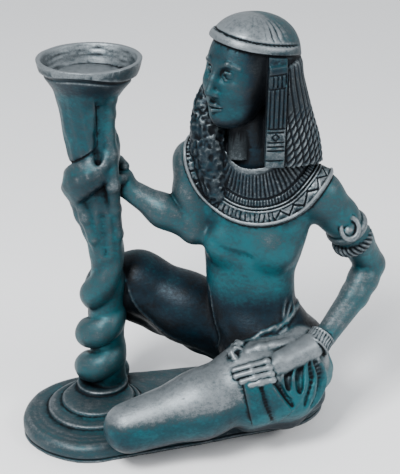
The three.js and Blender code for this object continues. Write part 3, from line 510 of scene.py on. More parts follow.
# Left arm's jewels
RING_TOP = (101, 15, 148)
RING_LOW = (105.9, 18.7, 136.8)
RING_RUN = np.array([0.45, 0.33, -0.83])
MEDAL = np.array([101.2, -4, 155.2])
MEDAL_SIZE = (5.8, 7.2)
MEDAL_RIM = 1.6
MEDAL_AXES = np.array([(1, 0, 0), (0, 0.42, 0.907), (0, -0.907, 0.42)])
CUFF = (82.5, -15, 75)
CUFF_RUN = np.array([-0.6, -0.62, -0.5])
CUFF_RADIUS = 9.6
CUFF_HALF = 5.2


def ring(p, middle, run, radius, thick, ribs=0, depth=0.0, lean=0.0):
    """A ring round a limb, with ribs across it that may lean."""
    run = run / np.linalg.norm(run)
    q = p - np.asarray(middle, float)
    level = q @ run
    side = np.cross(run, (0, 0, 1))
    side /= np.linalg.norm(side)
    back = np.cross(run, side)
    u = q @ side
    w = q @ back
    out = np.hypot(u, w) - radius
    d = np.hypot(out, level * 0.8) - thick
    if ribs:
        d = d + depth * np.abs(np.sin(np.arctan2(w, u) * ribs / 2 + level * lean)) ** 3
    return d


def cuff(p):
    run = CUFF_RUN / np.linalg.norm(CUFF_RUN)
    q = p - np.asarray(CUFF, float)
    level = q @ run
    side = np.cross(run, (0, 0, 1))
    side /= np.linalg.norm(side)
    back = np.cross(run, side)
    u = q @ side
    w = q @ back
    out = np.hypot(u, w) - CUFF_RADIUS - 0.12 * level
    d = smooth_max(out, np.abs(level) - CUFF_HALF, 1)
    strokes = np.abs(np.sin(np.arctan2(w, u) * 12 + level * 0.2 + noise(p, 4)))
    d = d + 0.8 * (1 - strokes) ** 2 * (np.abs(level) < CUFF_HALF - 1)
    return d - 0.5 * bump(np.abs(level), CUFF_HALF - 0.8, 0.9)


def medal(p):
    """The oval loop in front of the armlet's rings, with a low boss inside it."""
    q = (p - MEDAL) @ MEDAL_AXES.T
    reach = np.hypot(q[:, 0] / MEDAL_SIZE[0], q[:, 1] / MEDAL_SIZE[1])
    loop = np.hypot((reach - 1) * min(MEDAL_SIZE), q[:, 2]) - MEDAL_RIM
    boss = ball(q, (-0.6, -1.8, -0.6), (3.4, 3.6, 1.9))
    return smooth_min(np.minimum(loop, boss), ball(q, (0, 0, -2.4), (5.6, 7.2, 2.6)), 0.5)


# Hands
HAND = [(87, -11, 76, 7.5), (75, -21, 72.5, 8), (65, -28.5, 71, 8), (56, -35, 69.5, 7.4), (50, -40, 68.3, 6.4)]
THUMB = [(62, -22, 76, 4.4), (51, -27, 77.2, 3.5), (41, -29.5, 77.2, 3), (33, -32, 75.6, 2.7)]
FINGERS = [
    [(45, -42, 73.4), (34, -45, 72), (23, -45.6, 69)],
    [(46.4, -45, 70.6), (35, -48, 69.2), (24, -48.8, 66.2)],
    [(47.6, -47.4, 67.4), (37, -50.4, 66), (28, -51.6, 63.6)],
    [(48.6, -49.4, 64), (40.5, -51.9, 63.2), (33.5, -53, 61.6)],
]
PALM_GAP = [(36, -38.4, 75.2, 0.9), (41, -36.8, 76.6, 1.5), (46.5, -35.4, 77.4, 1)]
FINGER = 2.3
KNUCKLE = 3


def left_hand(p):
    d = limb(p, HAND, 5)
    d = smooth_min(d, limb(p, THUMB, 3), 1.5)
    d = smooth_max(d, -limb(p, PALM_GAP, 1), 0.9)
    for i, spots in enumerate(FINGERS):
        rows = [(*spot, FINGER - 0.15 * j) for j, spot in enumerate(spots)]
        d = smooth_min(d, limb(p, rows, 1.5), 0.5)
        d = smooth_min(d, ball(p, spots[0], (KNUCKLE, KNUCKLE, KNUCKLE - 0.25 * i)), 0.7)
    return d


BUNCH = [(33, -19, 76, 2.8), (27, -23, 75, 3.8), (24, -29, 74, 4), (23.5, -36, 72, 3)]


def bunch(p):
    """Rough gathered cloth at the end of the belt, beside the finger tips."""
    return limb(p, BUNCH, 3) - 1.6 * noise(p, 4.2) - 0.7 * noise(p, 2.2, 5)


GRIP_MIDDLE = (-69, 25)
GRIP_RADIUS = 17
GRIP_LOW = 168


def grip(z, low, high, rise, radius, count=6):
    """A finger's rows round the stem, from the first to the last of the two angles in degrees."""
    rows = []
    for j in range(count):
        a = math.radians(low + (high - low) * j / (count - 1))
        x = GRIP_MIDDLE[0] + GRIP_RADIUS * math.cos(a)
        y = GRIP_MIDDLE[1] + GRIP_RADIUS * math.sin(a)
        rows.append((x, y, z + rise * j / (count - 1), radius * (1 - 0.15 * j / (count - 1))))
    return rows


def right_hand(p):
    d = limb(p, [(-50, 24, 174, 7.5), (-54, 27, 178, 9)], 4)
    for i in range(4):
        d = smooth_min(d, limb(p, grip(GRIP_LOW + 6.5 * i, 10, 165, 4, 4), 1), 0.7)
    return smooth_min(d, limb(p, grip(GRIP_LOW + 10, 12, -32, 5, 3.8), 1), 1.5)


# Kilt: folds lie along the skin, and their points are settled on to it
FLAP = [(28.5, 65), (47.5, 64), (63, 38.5), (54, 29), (36, 30)]
FOLDS = [
    ([(47.3, -50.2, 61.8), (50.9, -51, 54.9), (56.4, -49.3, 47.1), (62.6, -47.3, 38.9)], 2.0),
    ([(56, -44.5, 64), (56.8, -47, 57), (59.5, -47.3, 51.5), (65.4, -46.1, 47.8)], 1.7),
    ([(64.8, -37.4, 66), (63, -41.7, 60.1), (63.5, -45, 53.2), (67.2, -45.5, 48.1)], 1.8),
    ([(72.7, -32.1, 67.5), (72.1, -37.7, 57.7), (69, -44.4, 49.5), (63.2, -47.3, 39.6)], 2.0),
    ([(76.4, -29.8, 68), (79, -33.2, 55), (75.1, -41.4, 47.6), (74.1, -42.9, 39)], 1.5),
    ([(81.5, -26.7, 67), (87.2, -22.7, 48.7), (84, -28, 39), (76.9, -39.2, 35.3)], 2.2),
    ([(90, -6, 74), (94, -4, 54), (92, -2, 38)], 1.6),
]
FOLD_GROOVES = [
    ([(49, -49, 64), (53.3, -48.5, 58.8), (58.2, -48.2, 49.8), (63.2, -47.4, 42)], 1.3),
    ([(62.4, -38.6, 66), (59.3, -43.5, 61.2), (60, -46.3, 54.8)], 2.0),
    ([(69.1, -34.4, 66.5), (67.8, -39.8, 58.9), (68.3, -44.4, 51)], 2.5),
    ([(75.2, -30.4, 68), (76.6, -34.6, 55.8), (73.3, -43.5, 44.8), (72, -44, 40)], 1.6),
    ([(78.6, -28.5, 68), (83, -28.3, 54), (81, -33, 44), (76.8, -39.8, 38)], 2.5),
]
FLAP_PLEAT = [(40.7, -52.8, 61), (44.5, -53.9, 47.8), (50.1, -46.6, 29)]
BELT = [(24.7, -23, 75.1), (34.4, -19.9, 78), (44.1, -16.5, 82.5), (55.3, -12.4, 84.9), (62.5, -6, 87.7),
        (67.1, 2.5, 91.1), (70, 16, 90), (62, 32, 86), (40, 37, 82)]
HEM = [(-56, 34, 106), (-53.4, 26.7, 102.3), (-47.2, 22.4, 85.3), (-40.2, 23.1, 75.2), (-24.4, 16.4, 63.3), (-8, 12, 56)]
GROIN = [(6, 14, 108), (7, 8.4, 102), (10.5, 1, 82.3), (12, -4, 70), (9.3, 2, 58)]
BREAST_CREASE = [(8.8, 0, 144), (14.9, -3.7, 139.5), (23.8, -4.8, 136.5), (34, -7.3, 134.2)]
SPINE = [(45, 34, 184), (42, 34, 160), (40, 34, 130), (40, 33, 104), (44, 36, 88)]
PLEATS = [[(59.6, -1.8, 101.2), (58.3, -4.2, 94.6), (57.5, -9, 87.8)],
          [(64.1, 1.5, 97.5), (61.2, -3.9, 91.3), (58.2, -10, 86)],
          [(66, 1, 100), (65.6, 0.5, 92.3), (59.6, -10.5, 84.6)],
          [(47.3, -16, 82), (50.4, -14.1, 84.3), (52.5, -13, 85.2)],
          [(50.7, -15.9, 81.4), (53.9, -14, 83.4), (56, -11.7, 85.3)],
          [(54.9, -15.9, 80.8), (58.1, -13.6, 82.4), (60.2, -11.3, 83.5)]]


def bare_form(p):
    """The figure without its carving, which the folds are settled on to."""
    d = upper_body(p)
    d = smooth_min(d, limb(p, LEFT_CALF), 2)
    d = smooth_min(d, limb(p, LEFT_FOOT), 3)
    d = smooth_min(d, limb(p, LEFT_THIGH, 10), 3)
    d = smooth_min(d, limb(p, RIGHT_SKIRT), 6)
    d = smooth_min(d, limb(p, RIGHT_THIGH, 10), 3)
    d = smooth_min(d, limb(p, HIP_CLOTH, 8), 6)
    d = smooth_min(d, limb(p, HIP_CLOTH_LOW, 8), 6)
    for middle in BREASTS:
        d = smooth_min(d, ball(p, middle, BREAST_RADII), 8)
    return d


def slope(p, shape, step=0.4):
    parts = []
    for axis in np.eye(3):
        parts.append(shape(p + axis * step) - shape(p - axis * step))
    n = np.stack(parts, 1)
    return n / np.maximum(np.linalg.norm(n, axis=1, keepdims=True), 1e-9)


def settle(points, shape, count=14):
    """Points of a smooth line through the given ones, moved on to the shape's skin."""
    knots = np.array(points, float)
    t = np.linspace(0, len(knots) - 1, count)
    rows = [(i, *knot) for i, knot in enumerate(knots)]
    line = np.stack([along(t, rows, column) for column in (1, 2, 3)], 1)
    for _ in range(4):
        line = line - slope(line, shape) * shape(line)[:, None]
    return line


def seam(points, thick, depth, shape=None):
    """Rows of a thin tube that lies along the skin, with tapered ends."""
    line = settle(points, shape or bare_form)
    line = line - slope(line, shape or bare_form) * depth
    ends = np.sin(np.linspace(0.12, math.pi - 0.12, len(line))) ** 0.5
    return [(*spot, thick * size) for spot, size in zip(line, ends)]


def on_flap(p):
    """1 on the flap of cloth that hangs under the hand, 0 beside it."""
    inside = np.full(len(p), FAR)
    for (x0, z0), (x1, z1) in zip(FLAP, FLAP[1:] + FLAP[:1]):
        run = math.hypot(x1 - x0, z1 - z0)
        inside = np.minimum(inside, -((x1 - x0) * (p[:, 2] - z0) - (z1 - z0) * (p[:, 0] - x0)) / run)
    return smooth_step(inside, -0.4, 0.6) * (p[:, 1] < -24)


def kilt_flap(p, d):
    return d - 1.7 * on_flap(p)


class Form:
    """One shape of the cast: where it is, how softly it joins, cuts or raises, and its paint: a share of silver and a
    share of darkening, which is painted shade on forms that sit low, face down or lie in shadow, and darker paint on
    others.
    """

    def __init__(self, shape, box, blend=0.0, silver=0.3, painted_shade_and_dark_paint=0.0, role="join"):
        self.shape = shape
        self.low = np.array(box[0], float)
        self.high = np.array(box[1], float)
        self.blend = blend
        self.silver = silver
        self.painted_shade_and_dark_paint = painted_shade_and_dark_paint
        self.role = role


def tube_form(rows, join, blend, silver=0.3, painted_shade_and_dark_paint=0.0, role="join"):
    spots = np.array(rows, float)
    box = ((spots[:, :3] - spots[:, 3:]).min(0), (spots[:, :3] + spots[:, 3:]).max(0))
    return Form(lambda p: limb(p, rows, join), box, blend, silver, painted_shade_and_dark_paint, role)


def stack_form(rows, blend, silver=0.3, painted_shade_and_dark_paint=0.0):
    spots = np.array(rows, float)
    wide = np.maximum(spots[:, 3], spots[:, 4]).max()
    low = (spots[:, 1].min() - wide, spots[:, 2].min() - wide, spots[0, 0])
    high = (spots[:, 1].max() + wide, spots[:, 2].max() + wide, spots[-1, 0])
    return Form(lambda p: levels(p, rows)[0], (low, high), blend, silver, painted_shade_and_dark_paint)


def ball_form(middle, radii, blend, silver=0.3, painted_shade_and_dark_paint=0.0):
    return Form(lambda p: ball(p, middle, radii), (np.subtract(middle, radii), np.add(middle, radii)), blend, silver, painted_shade_and_dark_paint)


def seam_forms(lines, thick, depth, blend, silver, painted_shade_and_dark_paint=0.0, role="join"):
    """A thin tube along each line; its own thickness goes before the given one."""
    forms = []
    for line in lines:
        points, own = line if isinstance(line, tuple) else (line, thick)
        forms.append(tube_form(seam(points, own, depth * own), 1, blend, silver, painted_shade_and_dark_paint, role))
    return forms


# Close round the base of the neck, where painted shade darkens the chest and shoulders and silver fades.
def near_neck(p):
    return smooth_step(np.linalg.norm(p - NECK_BASE, axis=1), 29, 23)


def shoulder_silver(p):
    return 0.5 * (1 - near_neck(p))


def shoulder_painted_shade(p):
    return 0.15 + near_neck(p)


# Painted shade on the torso: dark on the belly, on the side towards the raised leg and by the neck, with a painted
# pool of light on the middle of the front.
def torso_painted_shade_and_light(p):
    belly = 1.2 * smooth_step(p[:, 2], 114, 90)
    side = 0.5 * smooth_step(p[:, 0], 14, 4) * (p[:, 2] < 160)
    lit = 0.3 * bump(p[:, 0], 46, 18) * bump(p[:, 2], 124, 24)
    return np.maximum(belly, side) - lit + near_neck(p)


# Silver on the torso: dry-brushed silver with a painted sheen under the collar and along the side at high x, fading
# away on the belly where shade is painted.
def torso_silver_and_painted_sheen(p):
    under_collar = 0.3 * bump(p[:, 2], 152, 14) * bump(p[:, 0], 44, 18)
    belly = 0.35 * smooth_step(p[:, 2], 114, 92)
    return 0.27 + under_collar - belly + 0.15 * smooth_step(p[:, 0], 56, 66)


def thigh_silver(p):
    """Silver on top of the thigh that lies across the base, down to its side."""
    bare = 1 - 0.9 * on_flap(p)
    return 0.95 * smooth_step(p[:, 2] - 0.1 * p[:, 0], 38, 50) * bare + 0.02


# Painted shade on the thigh that lies across the base, darker towards its underside.
def thigh_painted_shade(p):
    return 0.3 + 0.65 * smooth_step(p[:, 2] - 0.1 * p[:, 0], 31, 18)


# Painted shade on the face: darkest on the side turned towards the strap, on the brow under the headband and under the
# chin.
def face_painted_shade(p):
    q = in_head(p)
    beside = np.arctan2(q[:, 1], q[:, 0])
    brow = 0.3 * smooth_step(q[:, 2], 4, 14)
    return 0.4 + 0.7 * smooth_step(beside, 0.6, 1.15) + brow + 0.5 * smooth_step(q[:, 2], -27, -33)


def in_strap(p):
    return (np.abs(strap_side(p)) < STRAP_HALF) & (p[:, 1] < 4) & (band_level(in_head(p)) < -BAND_HALF)


def wig_silver(p):
    top = smooth_step(band_level(in_head(p)), -BAND_HALF - 0.5, -BAND_HALF + 1)
    hair = 0.4 + 0.2 * smooth_step(p[:, 2], 250, 228)
    strap = 0.1 + 0.35 * smooth_step(p[:, 2], 236, 226)
    q = in_head(p)
    cap = 0.95 - 0.45 * smooth_step(np.abs(np.arctan2(q[:, 1], q[:, 0])), 1.5, 2.3)
    return top * cap + (1 - top) * np.where(in_strap(p), strap, hair)


# Near black inside the wig's opening round the face, as painted shadow; below the headband darker paint on the hair, a
# little less on the strap, and lighter on the headband and crown.
def wig_painted_shade_and_dark_paint(p):
    level = band_level(in_head(p))
    inside = levels(p, WIG)[2] < 0.86
    top = smooth_step(level, -BAND_HALF - 0.5, -BAND_HALF + 1.5)
    under = np.where(in_strap(p), 0.75, 1.0)
    return np.where(inside & (level < -BAND_HALF), 1.5, 0.5 * top + (1 - top) * under)


def collar_silver(p):
    rho = np.linalg.norm(p - NECK_BASE, axis=1)
    rim = 0.4 * bump(neckline(p), 1.035, 0.05) + 0.3 * smooth_step(rho, 48.6, 49.4)
    return 0.42 + 0.28 * smooth_step(rho, 39, 40) + rim


def collar_gloom(p):
    rho = np.linalg.norm(p - NECK_BASE, axis=1)
    return 0.6 + 0.4 * smooth_step(rho, 40, 37)


# Painted shade on the neck under the head, darker towards high x.
def neck_painted_shade(p):
    return 1.05 + 0.4 * smooth_step(p[:, 0], 44, 52)


def cup_silver(p):
    inside = (levels(p, CUP_HOLLOW)[2] < 1.03) & (p[:, 2] > CUP_FLOOR - 2)
    lip = 0.35 * smooth_step(p[:, 2], 252, 258)
    return np.where(inside, 1.0, np.where(p[:, 2] > 262, 0.75, 0.32 + lip))


# Darker from 244 mm upwards: painted shade under the cup's overhanging lip, carried on over the cup.
def cup_painted_shade(p):
    return 0.45 + 0.35 * smooth_step(p[:, 2], 244, 250)


def stem_gloom(p):
    return 0.25 * smooth_step(p[:, 2], 90, 130) + 0.2 * smooth_step(p[:, 2], 50, 75) - 0.1 + 0.4 * smooth_step(p[:, 2], 26, 16)


def lay_out():
    """Every shape of the cast, in the order in which they join."""
    # A form's darkening share is painted shade where it sits low, faces down or lies in shadow, and darker paint
    # elsewhere.
    forms = [
        Form(plate, ((-130, -58, -2), (95, 74, 20)), 0, 0.5, 0.5),
        tube_form(LEFT_CALF, 6, 2, 0.2, 0.8),
        tube_form(LEFT_FOOT, 6, 3, 0.4, 0.3),
        stack_form(TORSO, 8, torso_silver_and_painted_sheen, torso_painted_shade_and_light),
        tube_form(LEFT_THIGH, 10, 3, thigh_silver, thigh_painted_shade),
        tube_form(RIGHT_SKIRT, 6, 6, 0.05, 1.0),
        tube_form(RIGHT_CALF, 6, 2, 0.25, 0.6),
        tube_form(RIGHT_FOOT, 6, 3, 0.35, 0.5),
        tube_form(RIGHT_THIGH, 10, 3, -0.1, 1.1),
        tube_form(SHOULDERS, 6, 6, shoulder_silver, shoulder_painted_shade),
        tube_form(HIP_CLOTH, 8, 6, -0.08, -0.1),
        tube_form(HIP_CLOTH_LOW, 8, 6, 0.0, 0.7),
        tube_form(NECK, 6, 4, 0.05, neck_painted_shade),
        tube_form(LEFT_ARM, 5, 8, 0.5, 0.15),
        tube_form(LEFT_FOREARM, 3, 2.5, 0.56, 0.1),
        tube_form(RIGHT_ARM, 8, 8, 0.62, 0.2),
        tube_form(RIGHT_FOREARM, 8, 2.5, 0.55, 0.2),
    ]
    forms += [ball_form(middle, BREAST_RADII, 8, torso_silver_and_painted_sheen) for middle in BREASTS]
    forms.append(Form(kilt_flap, ((24, -66, 26), (66, -20, 68)), role="raise"))
    forms += seam_forms(FOLDS, 2, 0.35, 2, 0.0, -0.1)
    forms += seam_forms(FOLD_GROOVES, 2, 0.1, 2.4, 0, role="cut")
    forms += seam_forms([BELT], 1.4, 0.4, 1.5, 0.55, 0.2)
    forms += seam_forms([HEM], 1.1, 0.45, 1.2, 0.4, 0.7)
    forms += seam_forms([GROIN], 0.9, 0.35, 1, 0.35, 0.8)
    forms += seam_forms(PLEATS, 0.8, 0.45, 1.4, 0.6, 0.7)
    forms += seam_forms([BREAST_CREASE, FLAP_PLEAT], 0.3, -1.6, 5, 0, role="cut")
    forms += seam_forms([SPINE], 0.8, 0.2, 2.5, 0, role="cut")
    forms += [
        Form(bunch, ((17, -43, 64), (39, -12, 82)), 1.2, 0.8, 0.5),
        Form(left_hand, ((18, -58, 56), (96, -2, 86)), 1.2, 1.05),
        Form(right_hand, ((-92, 2, 160), (-40, 50, 200)), 1.5, 0.5, 0.3),
        Form(face, ((-6, -32, 220), (66, 44, 300)), 2, 0.3, face_painted_shade),
        Form(wig, ((-6, -24, 190), (90, 52, 303)), 0.6, wig_silver, wig_painted_shade_and_dark_paint),
        Form(lock, ((-9, -2, 162), (24, 36, 252)), 1, 0.36, 1.0),
        Form(collar, ((-16, -42, 148), (96, 70, 232)), 0.5, collar_silver, collar_gloom),
        Form(lambda p: ring(p, RING_TOP, RING_RUN, 12.2, 3.1), ((80, -6, 130), (122, 36, 168)), 0.5, 0.7, 0.3),
        Form(lambda p: ring(p, RING_LOW, RING_RUN, 11.4, 3.7, 24, 1.0, 0.5), ((86, -2, 116), (126, 40, 157)), 0.5, 0.45, 0.7),
        Form(medal, ((93, -10, 144), (111, 6, 166)), 0.4, 0.75, 0.3),
        Form(cuff, ((68, -30, 60), (98, 0, 90)), 0.4, 0.85, 0.5),
        Form(stem, ((-100, -2, 8), (-46, 50, 245)), 2, 0.45, stem_gloom),
        Form(trunk, ((-111, -9, 182), (-36, 67, 266)), 2, cup_silver, cup_painted_shade),
        tube_form(TRUNK_STRAND, 3, 2, 0.55, 0.2),
        ball_form(TEAR, (2.2, 2, 3.2), 0.4, 0.9),
    ]
    forms += [tube_form(rows, 3, 2.5, 0.5, 0.3) for rows in STEM_BANDS]
    forms += [tube_form(strand_rows(FAT_ROWS, 0.3, 2 * math.pi * i / 6, 1.6), 1, 2, 0.5, 0.5) for i in range(6)]
    forms += [tube_form(rows, 2, 4, role="cut") for rows in (TRUNK_GROOVE, STEM_GROOVE)]
    return forms


FORMS = lay_out()


def field(p, reach=3.0, paint=None):
    """Distance to the cast's skin, right within reach of it; fills the columns of paint on the way."""
    d = np.full(len(p), FAR)
    for form in FORMS:
        margin = reach + form.blend
        near = np.all((p > form.low - margin) & (p < form.high + margin), axis=1)
        if not near.any():
            continue
        spots = p[near]
        if form.role == "raise":
            d[near] = form.shape(spots, d[near])
            continue
        e = form.shape(spots)
        if form.role == "cut":
            d[near] = smooth_max(d[near], -e, form.blend)
            continue
        if paint is not None:
            own = e < d[near]
            rows = np.flatnonzero(near)[own]
            for column, share in enumerate((form.silver, form.painted_shade_and_dark_paint)):
                paint[rows, column] = share(spots[own]) if callable(share) else share
        d[near] = smooth_min(d[near], e, form.blend)
    return np.maximum(d, -p[:, 2])


# Skin over the field
def sample(step):
    """Field values on a grid, true near the skin; three rounds home in on it."""
    low = np.array([-132, -80, -3], float)
    high = np.array([136, 76, 305], float)
    size = np.ceil((high - low) / step).astype(int) // 9 * 9 + 10
    values = np.full(size, FAR, np.float32)
    blocks = np.argwhere(np.ones((size - 1) // 9, bool)) * 9
    for width in (9, 3):
        reach = width * step
        middle = low + (blocks + width / 2) * step
        d = np.concatenate([field(part, reach + 3) for part in np.array_split(middle, max(1, len(middle) // 200_000))])
        inside = blocks[d < 0]
        for dx in range(width):
            for dy in range(width):
                for dz in range(width):
                    values[inside[:, 0] + dx, inside[:, 1] + dy, inside[:, 2] + dz] = -FAR
        blocks = blocks[np.abs(d) < reach * 1.15 + 2.2]
        small = width // 3
        shifts = np.argwhere(np.ones((3, 3, 3), bool)) * small
        blocks = (blocks[:, None, :] + shifts[None]).reshape(-1, 3)
    for part in np.array_split(blocks, max(1, len(blocks) // 200_000)):
        values[tuple(part.T)] = field(low + part * step, 3)
    return values, low


def skin(values, low, step):
    """Surface nets: one point in each cell that the skin crosses, one quad across each crossed edge."""
    inside = values < 0
    count = np.zeros(np.array(values.shape) - 1, np.int8)
    corners = [(i, j, k) for i in (0, 1) for j in (0, 1) for k in (0, 1)]
    spans = [slice(0, -1), slice(1, None)]
    for i, j, k in corners:
        count += inside[spans[i], spans[j], spans[k]]
    cells = np.argwhere((count > 0) & (count < 8))
    number = np.full(count.shape, -1, np.int32)
    number[tuple(cells.T)] = np.arange(len(cells))
    level = {c: values[tuple((cells + c).T)] for c in corners}
    total = np.zeros((len(cells), 3))
    crossings = np.zeros(len(cells))
    for a in corners:
        for axis in range(3):
            if a[axis]:
                continue
            b = list(a)
            b[axis] = 1
            va = level[a]
            vb = level[tuple(b)]
            cross = (va < 0) != (vb < 0)
            t = np.where(cross, va / np.where(cross, va - vb, 1), 0)
            spot = np.array(a, float) + t[:, None] * np.eye(3)[axis]
            total += np.where(cross[:, None], spot, 0)
            crossings += cross
    points = low + (cells + total / crossings[:, None]) * step
    quads = []
    for axis in range(3):
        u = (axis + 1) % 3
        v = (axis + 2) % 3
        near = [slice(1, -1)] * 3
        far = [slice(1, -1)] * 3
        near[axis] = slice(0, -1)
        far[axis] = slice(1, None)
        a = inside[tuple(near)]
        b = inside[tuple(far)]
        edge = np.argwhere(a != b)
        leaves = a[tuple(edge.T)]
        edge[:, u] += 1
        edge[:, v] += 1
        unit = np.eye(3, dtype=int)
        ring_cells = [edge - unit[u] - unit[v], edge - unit[v], edge, edge - unit[u]]
        quad = np.stack([number[tuple(c.T)] for c in ring_cells], 1)
        quad[~leaves] = quad[~leaves][:, ::-1]
        quads.append(quad)
    return points, np.concatenate(quads)


def mesh_of(name, points, quads):
    mesh = bpy.data.meshes.new(name)
    mesh.vertices.add(len(points))
    mesh.vertices.foreach_set("co", points.astype(np.float32).ravel())
    mesh.loops.add(quads.size)
    mesh.loops.foreach_set("vertex_index", quads.astype(np.int32).ravel())
    mesh.polygons.add(len(quads))
    mesh.polygons.foreach_set("loop_start", np.arange(0, quads.size, 4, dtype=np.int32))
    mesh.update(calc_edges=True)
    mesh.validate()
    return mesh


def thinned(piece, triangles):
    thin = piece.modifiers.new("thin", "DECIMATE")
    thin.ratio = min(1.0, triangles / (2 * len(piece.data.polygons)))
    shown = piece.evaluated_get(bpy.context.evaluated_depsgraph_get())
    mesh = bpy.data.meshes.new_from_object(shown)
    piece.modifiers.clear()
    piece.data = mesh


def largest_body(points, quads):
    """Drops loose crumbs: keeps the skin that holds the most faces."""
    label = np.arange(len(points))
    while True:
        lowest = label[quads].min(axis=1)
        before = label.copy()
        for column in range(4):
            np.minimum.at(label, quads[:, column], lowest)
        label = label[label]
        if np.array_equal(before, label):
            break
    own = label[quads[:, 0]]
    keep = own == np.bincount(own).argmax()
    quads = quads[keep]
    used = np.unique(quads)
    place = np.zeros(len(points), int)
    place[used] = np.arange(len(used))
    return points[used], place[quads]


def value_at(p, reach):
    return np.concatenate([field(part, reach) for part in np.array_split(p, max(1, len(p) // 200_000))])


def vertex_places(mesh):
    spots = np.empty(len(mesh.vertices) * 3, np.float32)
    mesh.vertices.foreach_get("co", spots)
    return spots.reshape(-1, 3).astype(float) * 1000 + PART_ORIGIN


FOUR_WAYS = [(1, 1, 1), (1, -1, -1), (-1, 1, -1), (-1, -1, 1)]
RELIEF_REACH = 0.9
RELIEF_HEIGHT = 0.3


def relief_marks(mesh):
    """Where the skin is hollow and shaded, and how far it bulges or dips."""
    p = vertex_places(mesh)
    normal = np.empty(len(p) * 3, np.float32)
    mesh.vertices.foreach_get("normal", normal)
    n = normal.reshape(-1, 3).astype(float)
    here = value_at(p, 4)
    marks = {}
    # How hollow the skin is within 6 mm, which keeps silver out and brings in the dark wash and painted shade.
    marks["hollow"] = np.clip(1 - (value_at(p + n * 6, 9) - here) / 6, 0, 1)
    # How crowded the space within 16 mm is, which the paint uses for painted shade.
    marks["shade"] = np.clip(1 - value_at(p + n * 16, 22) / 16, 0, 1)
    around = [value_at(p + RELIEF_REACH * np.array(way), 5) for way in FOUR_WAYS]
    marks["relief"] = np.clip((sum(around) / 4 - here) / RELIEF_HEIGHT, -1, 1)
    return marks


def tone_marks(mesh):
    """Each form's own share of silver and of darkening, painted shade and dark paint together, with soft borders."""
    p = vertex_places(mesh)
    count = len(p)
    paint = np.zeros((count, 2))
    field(p, 4, paint)
    edges = np.empty(len(mesh.edges) * 2, np.int32)
    mesh.edges.foreach_get("vertices", edges)
    a, b = edges.reshape(-1, 2).T
    share = np.maximum(np.bincount(a, minlength=count) + np.bincount(b, minlength=count), 1)
    marks = {}
    for column, name in enumerate(("silver", "painted_shade_and_dark_paint")):
        tone = paint[:, column]
        for _ in range(2):
            tone = 0.5 * tone + 0.5 * (np.bincount(a, tone[b], count) + np.bincount(b, tone[a], count)) / share
        marks[name] = tone
    return marks


def store(mesh, marks):
    for name, data in marks.items():
        mesh.attributes.new(name, "FLOAT", "POINT").data.foreach_set("value", data.astype(np.float32))


# Paint
class Nodes:
    """Short calls for a material's nodes."""

    def __init__(self, material):
        material.use_nodes = True
        self.tree = material.node_tree
        self.tree.nodes.clear()

    def add(self, kind, **inputs):
        node = self.tree.nodes.new("ShaderNode" + kind)
        for name, value in inputs.items():
            self.put(node.inputs[name.replace("_", " ")], value)
        return node

    def put(self, socket, value):
        if isinstance(value, bpy.types.NodeSocket):
            self.tree.links.new(value, socket)
        else:
            socket.default_value = value

    def math(self, operation, a, b=0.0, c=0.0, clamp=False):
        node = self.tree.nodes.new("ShaderNodeMath")
        node.operation = operation
        node.use_clamp = clamp
        for socket, value in zip(node.inputs, (a, b, c)):
            self.put(socket, value)
        return node.outputs[0]

    def step(self, value, low, high):
        node = self.tree.nodes.new("ShaderNodeMapRange")
        node.interpolation_type = "SMOOTHSTEP"
        for name, number in (("Value", value), ("From Min", low), ("From Max", high)):
            self.put(node.inputs[name], number)
        return node.outputs[0]

    def mark(self, name):
        node = self.tree.nodes.new("ShaderNodeAttribute")
        node.attribute_name = name
        return node.outputs["Fac"]

    def grain(self, where, scale, detail=3.0, rough=0.5):
        """Noise about zero."""
        node = self.add("TexNoise", Vector=where, Scale=scale, Detail=detail, Roughness=rough)
        return self.math("SUBTRACT", node.outputs["Fac"], 0.5)

    def total(self, start, *parts):
        """The start and every part times its share."""
        for part, share in parts:
            start = self.math("MULTIPLY_ADD", part, share, start)
        return start

    def mix(self, share, a, b):
        node = self.tree.nodes.new("ShaderNodeMix")
        node.data_type = "RGBA"
        self.put(node.inputs[0], share)
        self.put(node.inputs[6], a)
        self.put(node.inputs[7], b)
        return node.outputs[2]


# A teal ramp from lit to shaded paint, used for painted light and shade as well as for mottling; NEAR_BLACK also fills
# dark washes and painted shade in recesses.
BRIGHT_TEAL = (0.004, 0.075, 0.092, 1)
TEAL = (0.003, 0.036, 0.048, 1)
DEEP_BLUE = (0.0015, 0.0095, 0.017, 1)
NEAR_BLACK = (0.0008, 0.002, 0.0038, 1)
SILVER = (0.19, 0.215, 0.23, 1)
DULL_SILVER = (0.04, 0.052, 0.058, 1)


